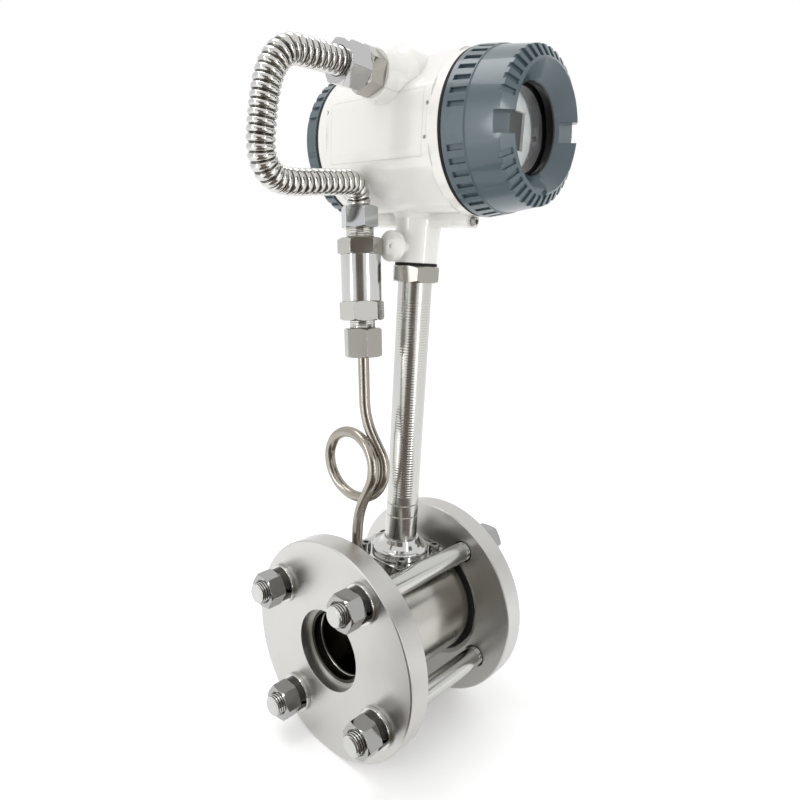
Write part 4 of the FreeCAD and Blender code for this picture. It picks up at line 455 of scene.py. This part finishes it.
def swept(name, line, radius_at, around):
    """A closed tube along a line, whose radius changes with the distance along it."""
    vertices, faces, walked = [], [], 0.0
    ahead = (line[1] - line[0]).normalized()
    side = ahead.orthogonal().normalized()
    for i, point in enumerate(line):
        after = line[min(i + 1, len(line) - 1)] - line[max(i - 1, 0)]
        after.normalize()
        side = (side - after * side.dot(after)).normalized()
        other = after.cross(side)
        if i:
            walked += (point - line[i - 1]).length
        radius = radius_at(walked)
        for k in range(around):
            angle = 2 * math.pi * k / around
            vertices.append(point + (side * math.cos(angle) + other * math.sin(angle)) * radius)
    for i in range(len(line) - 1):
        low, high = i * around, (i + 1) * around
        for k in range(around):
            beside = (k + 1) % around
            faces.append((low + k, low + beside, high + beside, high + k))
    faces.append(tuple(range(around - 1, -1, -1)))
    faces.append(tuple((len(line) - 1) * around + k for k in range(around)))
    mesh = bpy.data.meshes.new(name)
    mesh.from_pydata(vertices, [], faces)
    mesh.polygons.foreach_set("use_smooth", [True] * len(mesh.polygons))
    mesh.update()
    piece = bpy.data.objects.new(name, mesh)
    scene.collection.objects.link(piece)
    return piece


def ring_share(walked):
    """How far a place on the hose is through its own ring, from 0 to 1. The lower run is stretched."""
    upper = min(walked / MM, LOWER_RUN_START) / UPPER_PITCH
    lower = max(walked / MM - LOWER_RUN_START, 0.0) / LOWER_PITCH
    return (upper + lower) % 1.0


def hose_radius(walked):
    """The radius of the hose, on round crests with a valley between them."""
    crest = math.sqrt(max(0.0, 1 - (2 * ring_share(walked) - 1) ** 2))
    return (HOSE_RADIUS - RING_DEPTH * (1 - crest)) * MM


def make_hose(material, valley_shade_material):
    """The hose with its round rings, along the route of the CAD hose, with painted shade in its valleys as a
    second, darker metal.
    """
    line, length = even_steps(spline_points("hose_route", HOSE_ROUTE), HOSE_STEP * MM)
    hose = swept("corrugated_hose", line, hose_radius, HOSE_FACES_AROUND)
    hose.data.materials.append(material)
    hose.data.materials.append(valley_shade_material)
    # Faces in the valleys take the darker metal, as painted shade.
    for face in hose.data.polygons:
        middle = (face.index // HOSE_FACES_AROUND + 0.5) / (len(line) - 1) * length
        is_end = len(face.vertices) > 4
        if not is_end and not SHADED_VALLEY_SHARE < ring_share(middle) < 1 - SHADED_VALLEY_SHARE:
            face.material_index = 1
    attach(hose, "meter")
    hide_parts("flexible_hose")
    print("hose length", round(length, 4))


# Studio, in metres

METER_Y = 0.066
LIGHT_TARGET = (0, METER_Y, 0.18)
FLOOR_SIDE, FLOOR_GLOW = 80, 0.14
OVERHEAD_PLACE, OVERHEAD_SIDE, OVERHEAD_POWER = (-0.4, -0.3, 1.7), 0.9, 7
STRIPS = {"left_strip": -54, "right_strip": 41}
STRIP_DISTANCE, STRIP_HEIGHT, STRIP_POWER = 1.3, 0.35, 3.6
STRIP_WIDE, STRIP_HIGH = 0.09, 1.2
CARD_DISTANCE, CARD_ROUGH = 1.2, 0.9
TABLE_CARD_DEGREES, TABLE_CARD_DISTANCE, TABLE_CARD_LIFT = 4, 0.63, 0.002


def plane(name, wide, high, place):
    """A flat level rectangle."""
    x, y = wide / 2, high / 2
    mesh = bpy.data.meshes.new(name)
    mesh.from_pydata([(-x, -y, 0), (x, -y, 0), (x, y, 0), (-x, y, 0)], [], [(0, 1, 2, 3)])
    piece = bpy.data.objects.new(name, mesh)
    scene.collection.objects.link(piece)
    piece.location = place
    return piece


def area_light(name, place, wide, high, power):
    """A soft light that faces the meter."""
    light = bpy.data.lights.new(name, "AREA")
    light.shape = "RECTANGLE"
    light.size = wide
    light.size_y = high
    light.energy = power
    holder = bpy.data.objects.new(name, light)
    scene.collection.objects.link(holder)
    holder.location = place
    holder.rotation_euler = (Vector(LIGHT_TARGET) - Vector(place)).to_track_quat("-Z", "Y").to_euler()
    holder.visible_camera = False


def from_camera(degrees, distance, height):
    """A point around the meter, by its angle to the right of the camera's direction."""
    angle = AZIMUTH - math.pi / 2 + math.radians(degrees)
    return (distance * math.cos(angle), METER_Y + distance * math.sin(angle), height)


def reflected_only(card, paint):
    """Make a piece a card that shows in reflections but takes no light from the rest."""
    card.data.materials.append(paint)
    card.visible_camera = False
    card.visible_diffuse = False
    card.visible_shadow = False
    card.visible_transmission = False


def standing_card(name, wide, high, degrees, height, paint):
    """A dark card around the meter that faces it."""
    place = from_camera(degrees, CARD_DISTANCE, height)
    card = plane(name, wide, high, place)
    card.rotation_euler = (Vector((0, METER_Y, height)) - Vector(place)).to_track_quat("Z", "Y").to_euler()
    reflected_only(card, paint)


def make_floor(low):
    """A wide pale floor that glows a little."""
    floor = plane("floor", FLOOR_SIDE, FLOOR_SIDE, (0, 0, low))
    material = new_material("floor_paint", color=(0.93, 0.93, 0.93), rough=0.7)
    shader = shader_of(material.node_tree)
    shader.inputs["Emission Color"].default_value = (1, 1, 1, 1)
    shader.inputs["Emission Strength"].default_value = FLOOR_GLOW
    floor.data.materials.append(material)


def make_world():
    """A white room."""
    world = bpy.data.worlds.new("Studio")
    world.use_nodes = True
    background = world.node_tree.nodes["Background"]
    background.inputs["Color"].default_value = (1, 1, 1, 1)
    background.inputs["Strength"].default_value = 1.0
    scene.world = world


def make_cards(low):
    """Two standing cards and one that lies before the meter, as its dark surroundings."""
    dark = new_material("dark_card", color=(0.12, 0.10, 0.08), rough=CARD_ROUGH)
    cool = new_material("cool_card", color=(0.11, 0.115, 0.12), rough=CARD_ROUGH)
    standing_card("camera_card", wide=0.9, high=0.9, degrees=-6, height=0.25, paint=dark)
    place = from_camera(TABLE_CARD_DEGREES, TABLE_CARD_DISTANCE, low + TABLE_CARD_LIFT)
    mat = plane("table_card", wide=0.7, high=1.0, place=place)
    mat.rotation_euler = (0, 0, AZIMUTH)
    reflected_only(mat, dark)
    standing_card("side_card", wide=1.0, high=0.65, degrees=74, height=0.92, paint=cool)


def make_studio():
    """A pale floor in a white room, an overhead light, two upright strips and dark cards."""
    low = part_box("inlet_flange")[0].z
    make_floor(low)
    area_light("overhead_light", OVERHEAD_PLACE, OVERHEAD_SIDE, OVERHEAD_SIDE, OVERHEAD_POWER)
    for name, degrees in STRIPS.items():
        place = from_camera(degrees, STRIP_DISTANCE, STRIP_HEIGHT)
        area_light(name, place, STRIP_WIDE, STRIP_HIGH, STRIP_POWER)
    make_world()
    make_cards(low)


scene.view_settings.view_transform = "Standard"
make_camera()
materials = make_materials()
dress(materials)
make_hose(materials["hose_steel"], materials["valley_shade_steel"])
make_studio()
